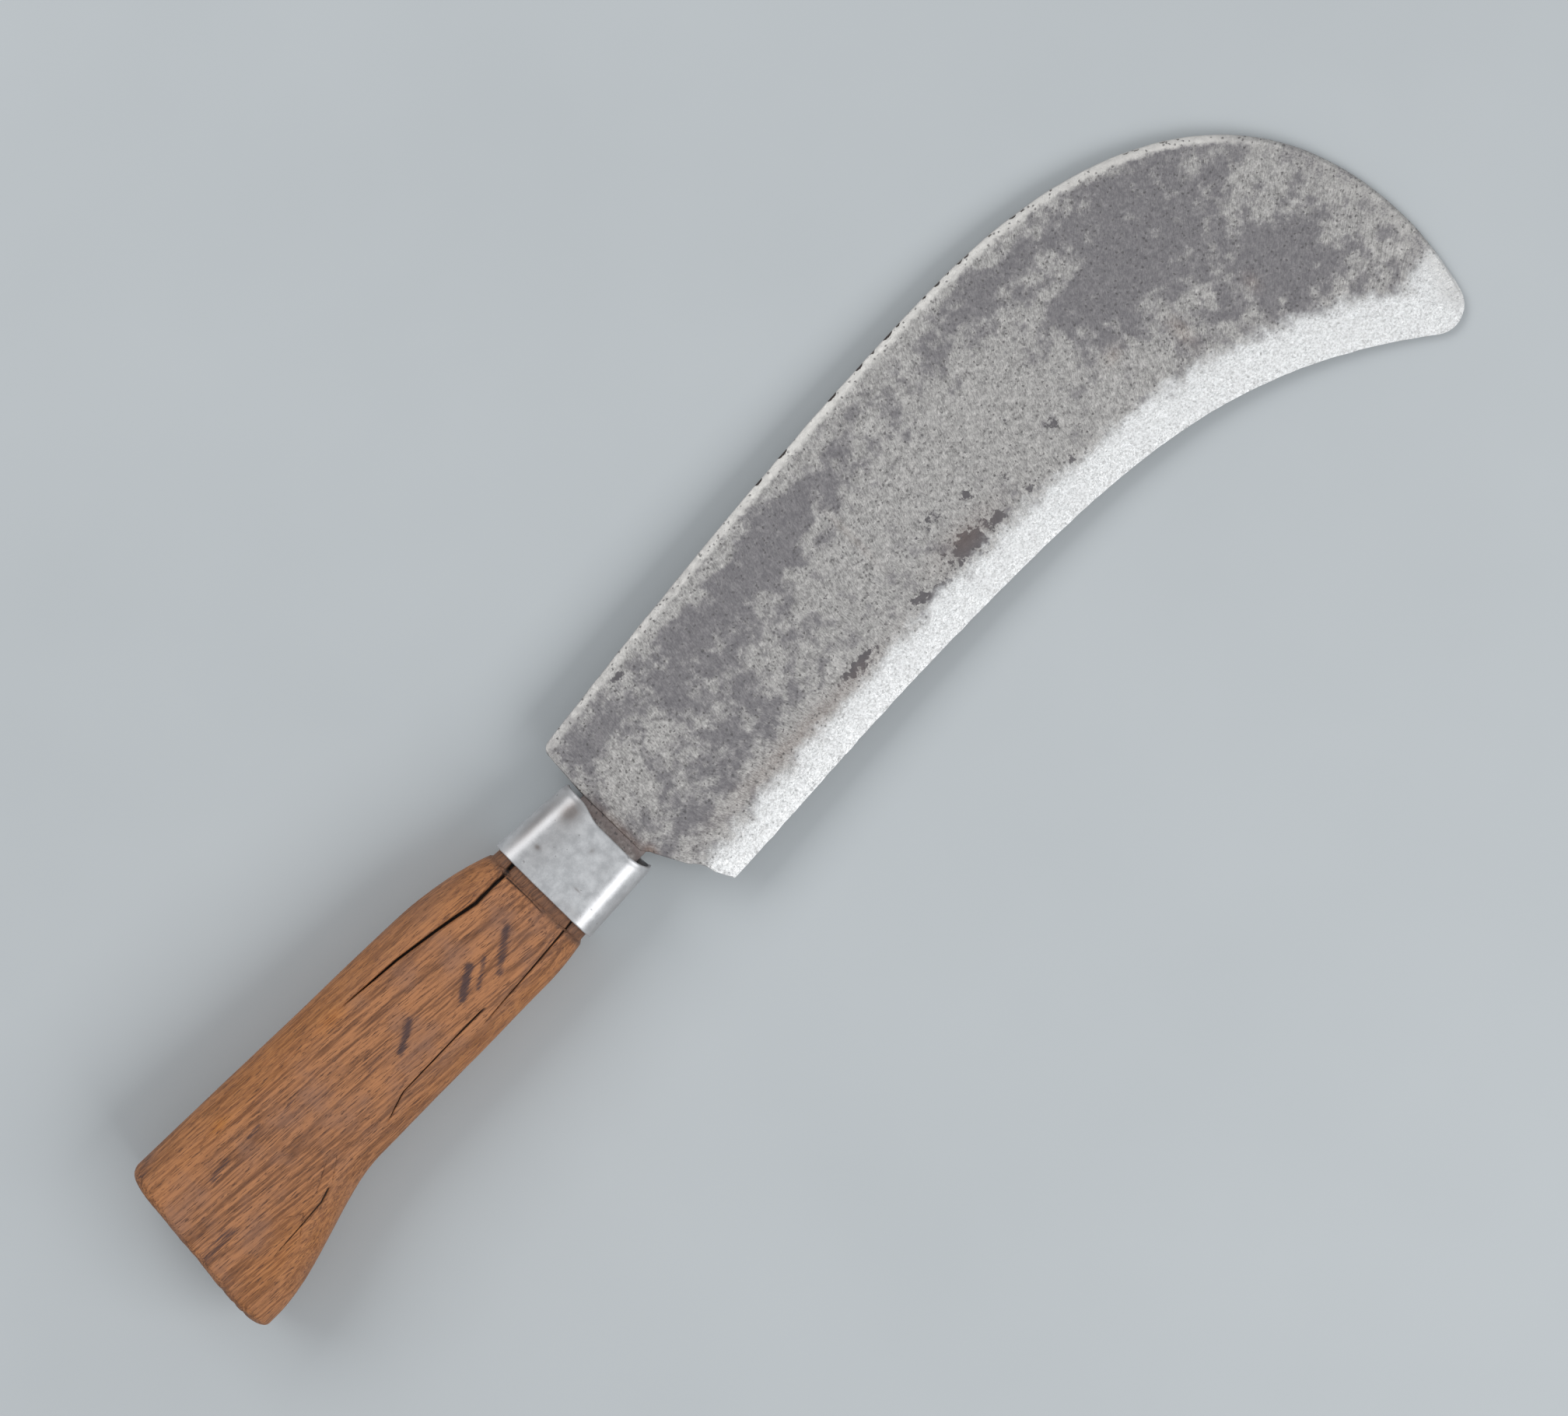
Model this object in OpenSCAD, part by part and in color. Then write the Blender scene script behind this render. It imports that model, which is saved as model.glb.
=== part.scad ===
// Billhook: a forged blade with a hooked nose, its tang run through a wooden fishtail handle,
// a tapered steel ferrule over the front of the wood and a small washer under the peened tang end.
// Millimetres. The tool lies on its flat side: X runs from the butt to the nose, the spine is
// towards +Y, the cutting edge towards -Y, and Z is up from the surface that the handle lies on.

/* [Blade outline] */
// Length of the blade from the mouth of the ferrule to the nose
blade_l = 270; // [235:1:310]
// Height of the spine above the tang axis where it starts at the heel
spine_heel_h = 27.4; // [24:0.1:31]
// Height of the spine's highest point above the tang axis
spine_peak_h = 39.9; // [35:0.1:48]
// Distance from the spine's highest point forward to the nose
nose_run = 102; // [85:1:125]
// Depth of the foremost point of the nose below the tang axis
nose_drop = 38.5; // [30:0.5:44]
// Angle at which the spine leaves the heel
spine_rise_angle = 7; // [3:0.5:11]
// Depth of the cutting edge below the tang axis at the heel
edge_heel_drop = 34.4; // [31:0.1:38]
// Depth of the cutting edge below the tang axis where it arches highest
edge_arch_drop = 31; // [27:0.1:34]
// Distance from the mouth of the ferrule to the highest place of the cutting edge
edge_arch_x = 111; // [90:1:130]
// Angle at which the cutting edge runs down into the tip
tip_angle = 37.5; // [28:0.5:45]
// Angle at which the nose tucks in towards the tip
nose_tuck_angle = 16; // [8:1:26]
// Depth of the lowest point of the tip below the tang axis
tip_drop = 69; // [62:0.1:77]
// Distance of the tip's lowest point behind the nose
tip_setback = 11.4; // [10.5:0.1:14]
// Radius of the rounded tip
tip_r = 8.3; // [6:0.1:9]

/* [Blade section] */
// Thickness of the blade just inside the spine at the heel
spine_t = 6; // [4.5:0.1:8]
// Thickness of the blade just inside the spine at the nose
nose_t = 3.2; // [2:0.1:4]
// Thickness of the blade at the top of the ground bevel, at the heel
bevel_top_t = 4.6; // [3.5:0.1:5.5]
// Thickness of the blade at the top of the ground bevel, at the nose
bevel_nose_t = 2.6; // [1.6:0.1:3.2]
// Thickness that is left at the cutting edge
edge_t = 0.5; // [0.3:0.1:1]
// Width of the ground bevel at the heel
bevel_w = 13; // [9:0.5:18]
// Width of the ground bevel at the hooked nose
bevel_nose_w = 18; // [12:0.5:22]
// Width of the worn chamfer along the spine, at the heel
chamfer_w = 2.4; // [1:0.1:4]
// Width of the worn chamfer at the nose
chamfer_nose_w = 0.8; // [0.4:0.1:2]
// Depth of the worn chamfer along the spine, at the heel
chamfer_d = 0.9; // [0.3:0.1:1.5]
// Depth of the worn chamfer at the nose
chamfer_nose_d = 0.5; // [0.2:0.1:0.8]

/* [Heel] */
// Gap between the rear edge of the blade and the mouth of the ferrule
shoulder_gap = 0.8; // [0.4:0.1:2]
// Lean of the rear edge, measured along the blade at the spine
rear_lean = 1; // [0:0.1:3]
// Radius of the corner between the rear edge and the spine
rear_corner_r = 3; // [1.5:0.1:5]
// Distance of the heel's corner in front of the ferrule
heel_x = 13.6; // [10:0.1:18]
// Radius of the small scallop worn into the heel
scallop_r = 8; // [6:0.5:11]
// Depth of the scallop in the straight line of the heel
scallop_d = 0.8; // [0.3:0.1:1.5]
// Distance of the scallop's middle down the heel from the neck
scallop_run = 15.6; // [12:0.1:19]
// Radius of the filed round between the heel and the neck
notch_r = 1.2; // [0.8:0.1:2]

/* [Tang] */
// Width of the neck where it leaves the blade
neck_w = 23; // [18:0.1:25]
// Thickness of the neck and of the front of the tang
neck_t = 5.4; // [4:0.1:6]
// Distance of the neck's middle below the tang axis
neck_drop = 0.6; // [0:0.1:1.5]
// Width of the tang just behind the neck
tang_w = 19; // [14:0.5:20]
// Distance behind the ferrule's mouth where the neck has narrowed to the tang
tang_shoulder_x = 13; // [9:0.5:18]
// Width of the tang where it passes the washer
tang_end_w = 6; // [4:0.1:8]
// Thickness of the tang where it passes the washer
tang_end_t = 4; // [3:0.1:5]
// Height of the tang's end above the tang axis
tang_end_rise = 4; // [0:0.5:8]
// Diameter of the peened head
peen_d = 9; // [7.5:0.1:11]
// Height of the peened head
peen_h = 1.4; // [0.8:0.1:2]

/* [Ferrule] */
// Length of the ferrule
ferrule_l = 25.4; // [20:0.1:32]
// Width of the ferrule at its mouth
ferrule_mouth_w = 32.6; // [30:0.1:34]
// Width of the ferrule at its rear
ferrule_rear_w = 35.6; // [34.4:0.1:37]
// Thickness of the ferrule at its mouth
ferrule_mouth_t = 23.6; // [20:0.1:25]
// Thickness of the ferrule at its rear
ferrule_rear_t = 26; // [25:0.1:27]
// Radius of the ferrule's long edges
ferrule_edge_r = 7; // [5:0.1:9]
// Wall of the ferrule
ferrule_wall = 1.2; // [0.8:0.1:1.8]
// Height of the ferrule's middle above the tang axis at its rear
ferrule_rear_rise = 0.3; // [-0.5:0.1:1]
// Depth to which the mouth is dressed back on the flats of the ferrule
mouth_dish = 1.2; // [0:0.1:1.8]

/* [Handle] */
// Length of the wood behind the ferrule, along the tang axis
handle_l = 136.4; // [115:0.1:165]
// Thickness of the grip between its flat cheeks
grip_t = 27; // [25:0.5:32]
// Radius of the grip's long edges
grip_edge_r = 10; // [7:0.5:12]
// Length of the low collar of wood that shows behind the ferrule
collar_l = 3; // [2:0.5:8]
// Height of the step from the collar up to the grip
collar_step = 0.8; // [0.3:0.1:1.5]
// Height of the grip's back above the tang axis, past its front rounding
back_h = 22.6; // [21:0.1:26]
// Height of the grip's back above the tang axis at the butt
back_butt_h = 27.2; // [24:0.1:31]
// Depth of the grip's belly below the tang axis
belly_h = 18.4; // [17.6:0.1:21]
// Depth of the fishtail below the tang axis at the butt
fishtail_h = 29; // [24:0.1:35]
// Length over which the belly swings out into the fishtail
fishtail_l = 49; // [35:1:65]
// Length of the fishtail's lip between the end of that swing and the butt
fishtail_lip = 7; // [4:0.5:14]
// Depth of the round at the lower corner of the fishtail
fishtail_round = 8; // [4:0.5:10]
// Length over which the grip's back swells up from the collar
back_swell_l = 30; // [15:1:45]
// Length over which the belly and the cheeks swell out from the collar
belly_swell_l = 15; // [8:1:30]
// Angle of the sawn butt to the square
butt_angle = 6; // [0:0.5:12]
// Radius of the rounded rim of the butt
butt_round_r = 3.5; // [2:0.1:5]
// Distance of the tenon's front behind the mouth of the ferrule
tenon_recess = 2.5; // [1:0.1:5]

/* [Washer] */
// Diameter of the washer
washer_d = 15; // [12.5:0.1:18]
// Thickness of the washer
washer_t = 1.8; // [1.2:0.1:2.6]
// Depth of the washer's outer face in the butt
washer_sink = 0.4; // [0:0.1:0.8]

/* [Fits] */
// Clearance between the ferrule and the tenon
ferrule_fit = 0.1; // [0.05:0.01:0.25]
// Clearance between the tang and the wood or the washer
tang_fit = 0.15; // [0.05:0.01:0.3]
// Clearance round the washer in its seat
washer_fit = 0.2; // [0.1:0.01:0.3]

/* [Hidden] */

// Reach of the tangents that shape the curves of the blade
spine_heel_pull = 51;
spine_peak_pull = 48;
nose_top_pull = 63;
nose_front_pull = 52;
edge_heel_pull = 33;
edge_arch_rear_pull = 40;
edge_arch_front_pull = 60;
edge_tip_pull = 56;

// Counts of sections and of points round a section
blade_stations = 60;
tip_stations = 7;
curve_steps = 40;
corner_steps = 6;
handle_stations = 44;
butt_steps = 5;

// Where the nose meets the tip circle, and the middle and span of the last narrow section on it
tip_front_angle = -nose_tuck_angle;
tip_close_angle = -68;
tip_close_span = 12;

// Points of the ground bevel, which bows out: share of its width and share of its gain in thickness
bevel_bow = [[0.3, 0.42], [0.65, 0.78]];
// Share of the gain in thickness that is reached half way from the bevel to the chamfer
face_bow = 0.62;
// Widest share of a narrow section that the bevel and the chamfer may take
bevel_share = 0.6;
chamfer_share = 0.2;
// Share of the thickness that is left where the tip runs out to nothing
tip_thinning = 0.35;
// Depth planed off each rounded cheek of the grip to make it flat
cheek_cut = 0.3;

tip_centre = [blade_l - tip_setback, tip_r - tip_drop];
butt_x = ferrule_l + handle_l;
grip_front_x = ferrule_l + collar_l;
overlap = 4;
far = 60;

// The butt plane stands square to this direction, and the tang's end lies in it here
butt_centre = [-butt_x + tang_end_rise * tan(butt_angle), tang_end_rise];

// Middle of the whole tool, which is placed over the origin
middle_x = (blade_l - butt_outline_x()) / 2;
middle_y = (spine_peak_h - tip_drop) / 2;

function bezier(p, t) =
    pow(1 - t, 3) * p[0] + 3 * pow(1 - t, 2) * t * p[1] + 3 * (1 - t) * t * t * p[2] + pow(t, 3) * p[3];

function curve(p) = [for (i = [0:curve_steps]) bezier(p, i / curve_steps)];

// Joins curves whose ends meet and drops the points that would repeat
function joined(curves) =
    [for (k = [0:len(curves) - 1]) for (i = [(k == 0 ? 0 : 1):len(curves[k]) - 1]) curves[k][i]];

function run_lengths(points, i = 0, total = 0) =
    i >= len(points) - 1 ? [total]
    : concat([total], run_lengths(points, i + 1, total + norm(points[i + 1] - points[i])));

// Spreads n + 1 points evenly along the length of a curve
function spread(points, n) =
    let (
        runs = run_lengths(points),
        whole = runs[len(runs) - 1],
        along_x = [for (i = [0:len(points) - 1]) [runs[i], points[i].x]],
        along_y = [for (i = [0:len(points) - 1]) [runs[i], points[i].y]]
    )
    [for (i = [0:n]) [lookup(whole * i / n, along_x), lookup(whole * i / n, along_y)]];

function on_circle(centre, r, angle) = centre + r * [cos(angle), sin(angle)];

// The spine from behind the heel, over the peak and round the nose to the tip circle
function spine_curve() =
    let (
        heel = [0, spine_heel_h],
        rise = [cos(spine_rise_angle), sin(spine_rise_angle)],
        rear = heel - overlap * rise,
        peak = [blade_l - nose_run, spine_peak_h],
        nose = [blade_l, -nose_drop],
        tip = on_circle(tip_centre, tip_r, tip_front_angle),
        tuck = [sin(tip_front_angle), -cos(tip_front_angle)],
        tip_pull = norm(nose - tip) / 3
    )
    joined([
        curve([rear, heel + spine_heel_pull * rise, peak - [spine_peak_pull, 0], peak]),
        curve([peak, peak + [nose_top_pull, 0], nose + [0, nose_front_pull], nose]),
        curve([nose, nose - [0, tip_pull], tip - tip_pull * tuck, tip])
    ]);

// The cutting edge from behind the heel, over its arch and down to the tip circle
function edge_curve() =
    let (
        heel = [heel_x, -edge_heel_drop],
        arch = [edge_arch_x, -edge_arch_drop],
        fall = atan2(edge_heel_drop - edge_arch_drop, edge_arch_x - heel_x),
        run = [cos(fall), sin(fall)],
        rear = heel - (heel_x + overlap) * run,
        tip = on_circle(tip_centre, tip_r, -90 - tip_angle),
        back = [-cos(tip_angle), sin(tip_angle)]
    )
    joined([
        curve([rear, heel + edge_heel_pull * run, arch - [edge_arch_rear_pull, 0], arch]),
        curve([arch, arch + [edge_arch_front_pull, 0], tip + edge_tip_pull * back, tip])
    ]);

function blend(a, b, t) = a + (b - a) * t;

// One section of the blade, from the cutting edge across to the spine and back underneath.
// The bevel is slightly convex, and both faces carry the worn chamfer of the spine.
function blade_section(edge, spine, u) =
    let (
        across = spine - edge,
        w = norm(across),
        dir = across / w,
        bevel = min(blend(bevel_w, bevel_nose_w, u), bevel_share * w),
        chamfer = min(blend(chamfer_w, chamfer_nose_w, u), chamfer_share * w),
        thinning = blend(tip_thinning, 1, min(1, w / (2 * bevel_nose_w))),
        t_spine = blend(spine_t, nose_t, u) * thinning,
        t_bevel = min(blend(bevel_top_t, bevel_nose_t, u) * thinning, t_spine),
        t_back = max(t_spine - 2 * blend(chamfer_d, chamfer_nose_d, u), edge_t),
        half = concat(
            [[0, edge_t / 2]],
            [for (p = bevel_bow) [p[0] * bevel, blend(edge_t, t_bevel, p[1]) / 2]],
            [
                [bevel, t_bevel / 2],
                [(bevel + w - chamfer) / 2, blend(t_bevel, t_spine, face_bow) / 2],
                [w - chamfer, t_spine / 2],
                [w, t_back / 2]
            ]
        ),
        n = len(half)
    )
    concat(
        [for (p = half) [edge.x + p[0] * dir.x, edge.y + p[0] * dir.y, p[1]]],
        [for (i = [n - 1:-1:0]) let (p = half[i]) [edge.x + p[0] * dir.x, edge.y + p[0] * dir.y, -p[1]]]
    );

function blade_sections() =
    let (
        spine = spread(spine_curve(), blade_stations),
        edge = spread(edge_curve(), blade_stations),
        spine_end = tip_close_angle + tip_close_span / 2,
        edge_start = -90 - tip_angle,
        edge_end = tip_close_angle - tip_close_span / 2
    )
    concat(
        [for (i = [0:blade_stations]) blade_section(edge[i], spine[i], i / blade_stations)],
        [for (i = [1:tip_stations])
            blade_section(
                on_circle(tip_centre, tip_r, blend(edge_start, edge_end, i / tip_stations)),
                on_circle(tip_centre, tip_r, blend(tip_front_angle, spine_end, i / tip_stations)),
                1
            )]
    );

// Skins a row of closed sections, all with the same number of points
module loft(sections) {
    count = len(sections);
    n = len(sections[0]);
    points = [for (s = sections) for (p = s) p];
    sides = [for (i = [0:count - 2]) for (j = [0:n - 1])
        [i * n + j, i * n + (j + 1) % n, (i + 1) * n + (j + 1) % n, (i + 1) * n + j]];
    first = [for (j = [n - 1:-1:0]) j];
    last = [for (j = [0:n - 1]) (count - 1) * n + j];
    polyhedron(points, concat([first], sides, [last]), convexity = 6);
}

// Rounded rectangle in the YZ plane at x, from y_low to y_high and t thick, run from +Y to +Z
function rounded_section(x, y_low, y_high, t, r, lean = 0) =
    let (
        corners = [
            [y_high - r, t / 2 - r, 0], [y_low + r, t / 2 - r, 90],
            [y_low + r, r - t / 2, 180], [y_high - r, r - t / 2, 270]
        ]
    )
    [for (c = corners) for (k = [0:corner_steps])
        let (
            a = c[2] + 90 * k / corner_steps,
            y = c[0] + r * cos(a),
            z = c[1] + r * sin(a)
        )
        [x + lean * y, y, z]];

// What is cut from the blade behind its rear edge and heel, seen from above
module heel_outline() {
    neck_top = neck_w / 2 - neck_drop;
    neck_low = -neck_w / 2 - neck_drop;
    rear_top_x = shoulder_gap + rear_lean;
    corner_x = rear_top_x + rear_corner_r;
    corner_y = spine_heel_h + corner_x * tan(spine_rise_angle) - rear_corner_r / cos(spine_rise_angle);
    corner_turn = 90 - spine_rise_angle;
    heel_run = [heel_x - notch_r - shoulder_gap, -edge_heel_drop - neck_low];
    heel_dir = heel_run / norm(heel_run);
    notch_corner = [shoulder_gap + notch_r, neck_low];
    scallop_mid = notch_corner + scallop_run * heel_dir;
    scallop_centre = scallop_mid + (scallop_r - scallop_d) * [heel_dir.y, -heel_dir.x];
    polygon(concat(
        [[-far, far], [corner_x, far]],
        [for (k = [0:corner_steps])
            on_circle([corner_x, corner_y], rear_corner_r, 180 - corner_turn * (1 - k / corner_steps))],
        [[shoulder_gap, neck_top], [shoulder_gap, neck_low], notch_corner],
        [notch_corner + 2 * heel_run, [-far, -far]]
    ));
    translate(scallop_centre) circle(r = scallop_r, $fn = 64);
    translate(notch_corner - [notch_r / 2, notch_r]) circle(r = notch_r, $fn = 32);
}

// A four-sided bar section across the tang, grown by clear on every side
function tang_section(x, y, w, t, clear) = [
    [x, y + w / 2 + clear, t / 2 + clear],
    [x, y - w / 2 - clear, t / 2 + clear],
    [x, y - w / 2 - clear, -t / 2 - clear],
    [x, y + w / 2 + clear, -t / 2 - clear]
];

// Height of the tang's middle line at a distance x behind the ferrule's mouth
function tang_y(x) = blend(-neck_drop, tang_end_rise, x / -butt_centre.x);

module tang(clear = 0, front = 0, past = 0) {
    end = -butt_centre.x + past;
    loft([
        tang_section(front, -neck_drop, neck_w, neck_t, clear),
        tang_section(-tenon_recess, tang_y(tenon_recess), neck_w, neck_t, clear),
        tang_section(-tang_shoulder_x, tang_y(tang_shoulder_x), tang_w, neck_t, clear),
        tang_section(-end, tang_y(end), tang_end_w, tang_end_t, clear)
    ]);
}

// Places something flat on the butt plane, with +Z pointing out of the wood
module on_butt(depth = 0) {
    translate([butt_centre.x, butt_centre.y, 0])
        rotate([0, 0, -butt_angle])
            translate([depth, 0, 0])
                rotate([0, -90, 0])
                    children();
}

module peened_head() {
    on_butt(washer_sink)
        rotate_extrude($fn = 48)
            intersection() {
                dome_r = (pow(peen_d / 2, 2) + peen_h * peen_h) / (2 * peen_h);
                translate([0, peen_h - dome_r]) circle(r = dome_r, $fn = 96);
                square([peen_d, peen_h]);
            }
}

// Sets the tool on the surface that it lies on, with its middle over the origin
module in_frame() {
    translate([-middle_x, -middle_y, grip_t / 2]) children();
}

module blade() in_frame() {
    color([0.50, 0.50, 0.51]) {
        difference() {
            loft(blade_sections());
            linear_extrude(2 * spine_t, center = true) heel_outline();
        }
        tang(front = shoulder_gap + overlap);
        peened_head();
    }
}

// Tapered tube of the ferrule's outer form, shrunk by inset, from x_front back to x_rear
module ferrule_form(inset, x_front, x_rear) {
    function share(x) = -x / ferrule_l;
    function form(x) =
        let (
            half = blend(ferrule_mouth_w, ferrule_rear_w, share(x)) / 2 - inset,
            mid = blend(0, ferrule_rear_rise, share(x)),
            t = blend(ferrule_mouth_t, ferrule_rear_t, share(x)) - 2 * inset
        )
        rounded_section(x, mid - half, mid + half, t, ferrule_edge_r - inset);
    loft([form(x_front), form(x_rear)]);
}

// Everything behind the mouth, whose rim stands back by mouth_dish on the two flats
module behind_mouth() {
    half_t = ferrule_mouth_t / 2;
    reach = half_t + ferrule_wall;
    rim = [for (k = [-corner_steps:corner_steps])
        let (z = reach * k / corner_steps) [-mouth_dish * pow(z / half_t, 2), z]];
    rotate([90, 0, 0])
        linear_extrude(2 * far, center = true)
            polygon(concat(rim, [[-far, far], [-far, -far]]));
}

module ferrule() in_frame() {
    color([0.72, 0.73, 0.74])
        intersection() {
            difference() {
                ferrule_form(0, 0, -ferrule_l);
                ferrule_form(ferrule_wall, overlap, -ferrule_l - overlap);
            }
            behind_mouth();
        }
}

function ease(s) = let (c = min(1, max(0, s))) c * c * (3 - 2 * c);

// Outer faces of the low collar, which is the tenon carried on behind the ferrule
collar_inset = ferrule_wall + ferrule_fit;
collar_top = ferrule_rear_w / 2 + ferrule_rear_rise - collar_inset;
collar_low = ferrule_rear_w / 2 - ferrule_rear_rise - collar_inset;
collar_t = ferrule_rear_t - 2 * collar_inset;

// Thickness of the grip before its two cheeks are planed flat
cheek_t = grip_t + 2 * cheek_cut;

// How much of the front rounding is left at a distance x behind the ferrule's mouth
function swell(x, l) = pow(max(0, 1 - (x - grip_front_x) / l), 2);

// Outline and thickness of the grip at a distance x behind the ferrule's mouth
function back_y(x) =
    blend(back_h, back_butt_h, (x - grip_front_x) / (butt_x - grip_front_x))
        - (back_h - collar_top - collar_step) * swell(x, back_swell_l);

function belly_y(x) =
    -blend(belly_h, fishtail_h, ease((x - butt_x + fishtail_lip + fishtail_l) / fishtail_l))
        + (belly_h - collar_low - collar_step) * swell(x, belly_swell_l);

function cheeks(x) = cheek_t - (cheek_t - collar_t - 2 * collar_step) * swell(x, belly_swell_l);

// Sections of the grip, leaning over to the angle of the butt and rounded in at its rim
function grip_sections() =
    let (
        lean_end = tan(butt_angle),
        rear = butt_x - butt_round_r,
        body = [for (i = [0:handle_stations])
            let (s = i / handle_stations, x = blend(grip_front_x, rear, s))
            rounded_section(-x, belly_y(x), back_y(x), cheeks(x), grip_edge_r, lean_end * ease(s))],
        rim = [for (k = [1:butt_steps])
            let (
                a = 90 * k / butt_steps,
                x = rear + butt_round_r * sin(a),
                inset = butt_round_r * (1 - cos(a)),
                inset_low = fishtail_round * (1 - cos(a))
            )
            rounded_section(
                -x, belly_y(rear) + inset_low, back_y(rear) - inset,
                cheek_t - 2 * inset, grip_edge_r - inset, lean_end
            )]
    )
    concat(body, rim);

// How far the leaning butt reaches behind the ferrule's mouth
function butt_outline_x() =
    butt_x + tan(butt_angle) * (fishtail_h - fishtail_round);

module handle() in_frame() {
    color([0.62, 0.42, 0.25])
        difference() {
            union() {
                intersection() {
                    loft(grip_sections());
                    translate([-2 * butt_x, -far, -grip_t / 2]) cube([2 * butt_x, 2 * far, grip_t]);
                }
                ferrule_form(collar_inset, -tenon_recess, -grip_front_x - overlap);
            }
            tang(clear = tang_fit, front = overlap, past = overlap);
            on_butt(washer_sink + washer_t)
                cylinder(d = washer_d + 2 * washer_fit, h = washer_sink + washer_t + overlap, $fn = 64);
        }
}

module tang_washer() in_frame() {
    color([0.30, 0.28, 0.27])
        difference() {
            on_butt(washer_sink + washer_t) cylinder(d = washer_d, h = washer_t, $fn = 64);
            tang(clear = tang_fit, front = overlap, past = overlap);
        }
}

blade();
ferrule();
handle();
tang_washer();
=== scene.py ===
# Billhook: a forged blade with a hooked nose, its tang run through a wooden fishtail handle, with a
# tapered steel ferrule and a small washer under the peened end. Metres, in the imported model's frame.
import math

import bmesh
import bpy
from mathutils import Matrix, Vector, noise
from mathutils.kdtree import KDTree


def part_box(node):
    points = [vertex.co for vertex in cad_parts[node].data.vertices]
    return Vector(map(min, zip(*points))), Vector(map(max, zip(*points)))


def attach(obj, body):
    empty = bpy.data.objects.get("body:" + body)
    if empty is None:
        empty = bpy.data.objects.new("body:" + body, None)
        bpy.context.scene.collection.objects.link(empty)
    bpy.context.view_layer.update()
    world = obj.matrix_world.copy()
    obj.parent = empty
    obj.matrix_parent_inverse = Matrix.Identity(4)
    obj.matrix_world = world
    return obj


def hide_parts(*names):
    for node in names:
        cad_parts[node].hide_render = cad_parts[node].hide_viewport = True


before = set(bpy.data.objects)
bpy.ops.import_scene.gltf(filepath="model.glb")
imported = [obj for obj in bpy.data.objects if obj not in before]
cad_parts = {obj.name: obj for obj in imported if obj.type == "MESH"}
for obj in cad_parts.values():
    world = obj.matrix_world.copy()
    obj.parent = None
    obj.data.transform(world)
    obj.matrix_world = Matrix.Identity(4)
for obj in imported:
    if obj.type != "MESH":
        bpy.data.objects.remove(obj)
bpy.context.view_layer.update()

# Blade. One bar of tool steel, forged out to a hooked outline that thins from spine to edge and from
# heel to nose, then ground along the cutting edge. Wear has polished the spine's corners and the
# edge, and old scale is left dark on the faces. The polished edge's pale colour is partly a painted
# highlight. The neck at the heel runs on as the tang.
ferrule_low, ferrule_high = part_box("ferrule")
FERRULE_REAR_RISE = 0.0003
MOUTH = Vector((
    ferrule_high.x,
    (ferrule_low.y + ferrule_high.y) / 2 - FERRULE_REAR_RISE,
    (ferrule_low.z + ferrule_high.z) / 2,
))
BLADE_L = 0.270
SPINE_HEEL = Vector((0, 0.0274))
SPINE_RISE = math.radians(7)
SPINE_PEAK = Vector((0.168, 0.0399))
NOSE = Vector((BLADE_L, -0.0385))
NOSE_TUCK = math.radians(16)
HEEL = Vector((0.0136, -0.0344))
EDGE_ARCH = Vector((0.111, -0.031))
TIP_ANGLE = math.radians(37.5)
TIP_R = 0.0083
TIP_CENTRE = Vector((BLADE_L - 0.0114, TIP_R - 0.069))
TIP_CLOSE = math.radians(68)
TIP_GAP = math.radians(6)

SPINE_T = 0.006
NOSE_T = 0.0032
BEVEL_TOP_T = 0.0046
BEVEL_NOSE_T = 0.0026
EDGE_T = 0.0005
BEVEL_W = 0.013
BEVEL_NOSE_W = 0.018
CHAMFER_W = 0.0024
CHAMFER_NOSE_W = 0.0008
CHAMFER_D = 0.0009
CHAMFER_NOSE_D = 0.0005
RIM_R = 0.0003

SHOULDER_X = 0.0008
REAR_LEAN = 0.001
REAR_CORNER_R = 0.003
NECK_Y = -0.0006
NECK_W = 0.023
NECK_T = 0.0048
NOTCH_R = 0.0012
SCALLOP_RUN = 0.0156
SCALLOP_R = 0.008
SCALLOP_D = 0.0008

BLADE_COLUMNS = 430
BLADE_ROWS = 92


def blend(a, b, share):
    return a + (b - a) * share


def ease(share):
    share = min(1.0, max(0.0, share))
    return share * share * (3 - 2 * share)


def curve(a, b, c, d, steps=80):
    """Points of the curve from a to d that b and c pull."""
    found = []
    for i in range(steps + 1):
        t = i / steps
        s = 1 - t
        found.append(s ** 3 * a + 3 * s * s * t * b + 3 * s * t * t * c + t ** 3 * d)
    return found


def arc(centre, r, start, end, steps=40):
    """Points on a circle between two angles."""
    angles = (blend(start, end, i / steps) for i in range(steps + 1))
    return [centre + r * Vector((math.cos(a), math.sin(a))) for a in angles]


def even(points, count):
    """The same line as count + 1 points at equal distances."""
    runs = [0.0]
    for a, b in zip(points, points[1:]):
        runs.append(runs[-1] + (b - a).length)
    found, k = [], 0
    for i in range(count + 1):
        wanted = runs[-1] * i / count
        while k < len(runs) - 2 and runs[k + 1] < wanted:
            k += 1
        step = runs[k + 1] - runs[k]
        found.append(points[k].lerp(points[k + 1], (wanted - runs[k]) / step if step else 0.0))
    return found


def along(line, share):
    place = share * (len(line) - 1)
    k = min(int(place), len(line) - 2)
    return line[k].lerp(line[k + 1], place - k)


def wander(line, amount, size, seed):
    """Moves a line's points sideways a little, as hand forging leaves them, and not at its ends."""
    found, run = [line[0]], 0.0
    for before, here, after in zip(line, line[1:], line[2:]):
        run += (here - before).length
        side = Vector((before.y - after.y, after.x - before.x)).normalized()
        hold = ease(run / 0.01) * ease((after - line[-1]).length / 0.01)
        found.append(here + side * amount * hold * noise.noise(Vector((run / size, seed, 0))))
    return found + [line[-1]]


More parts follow.
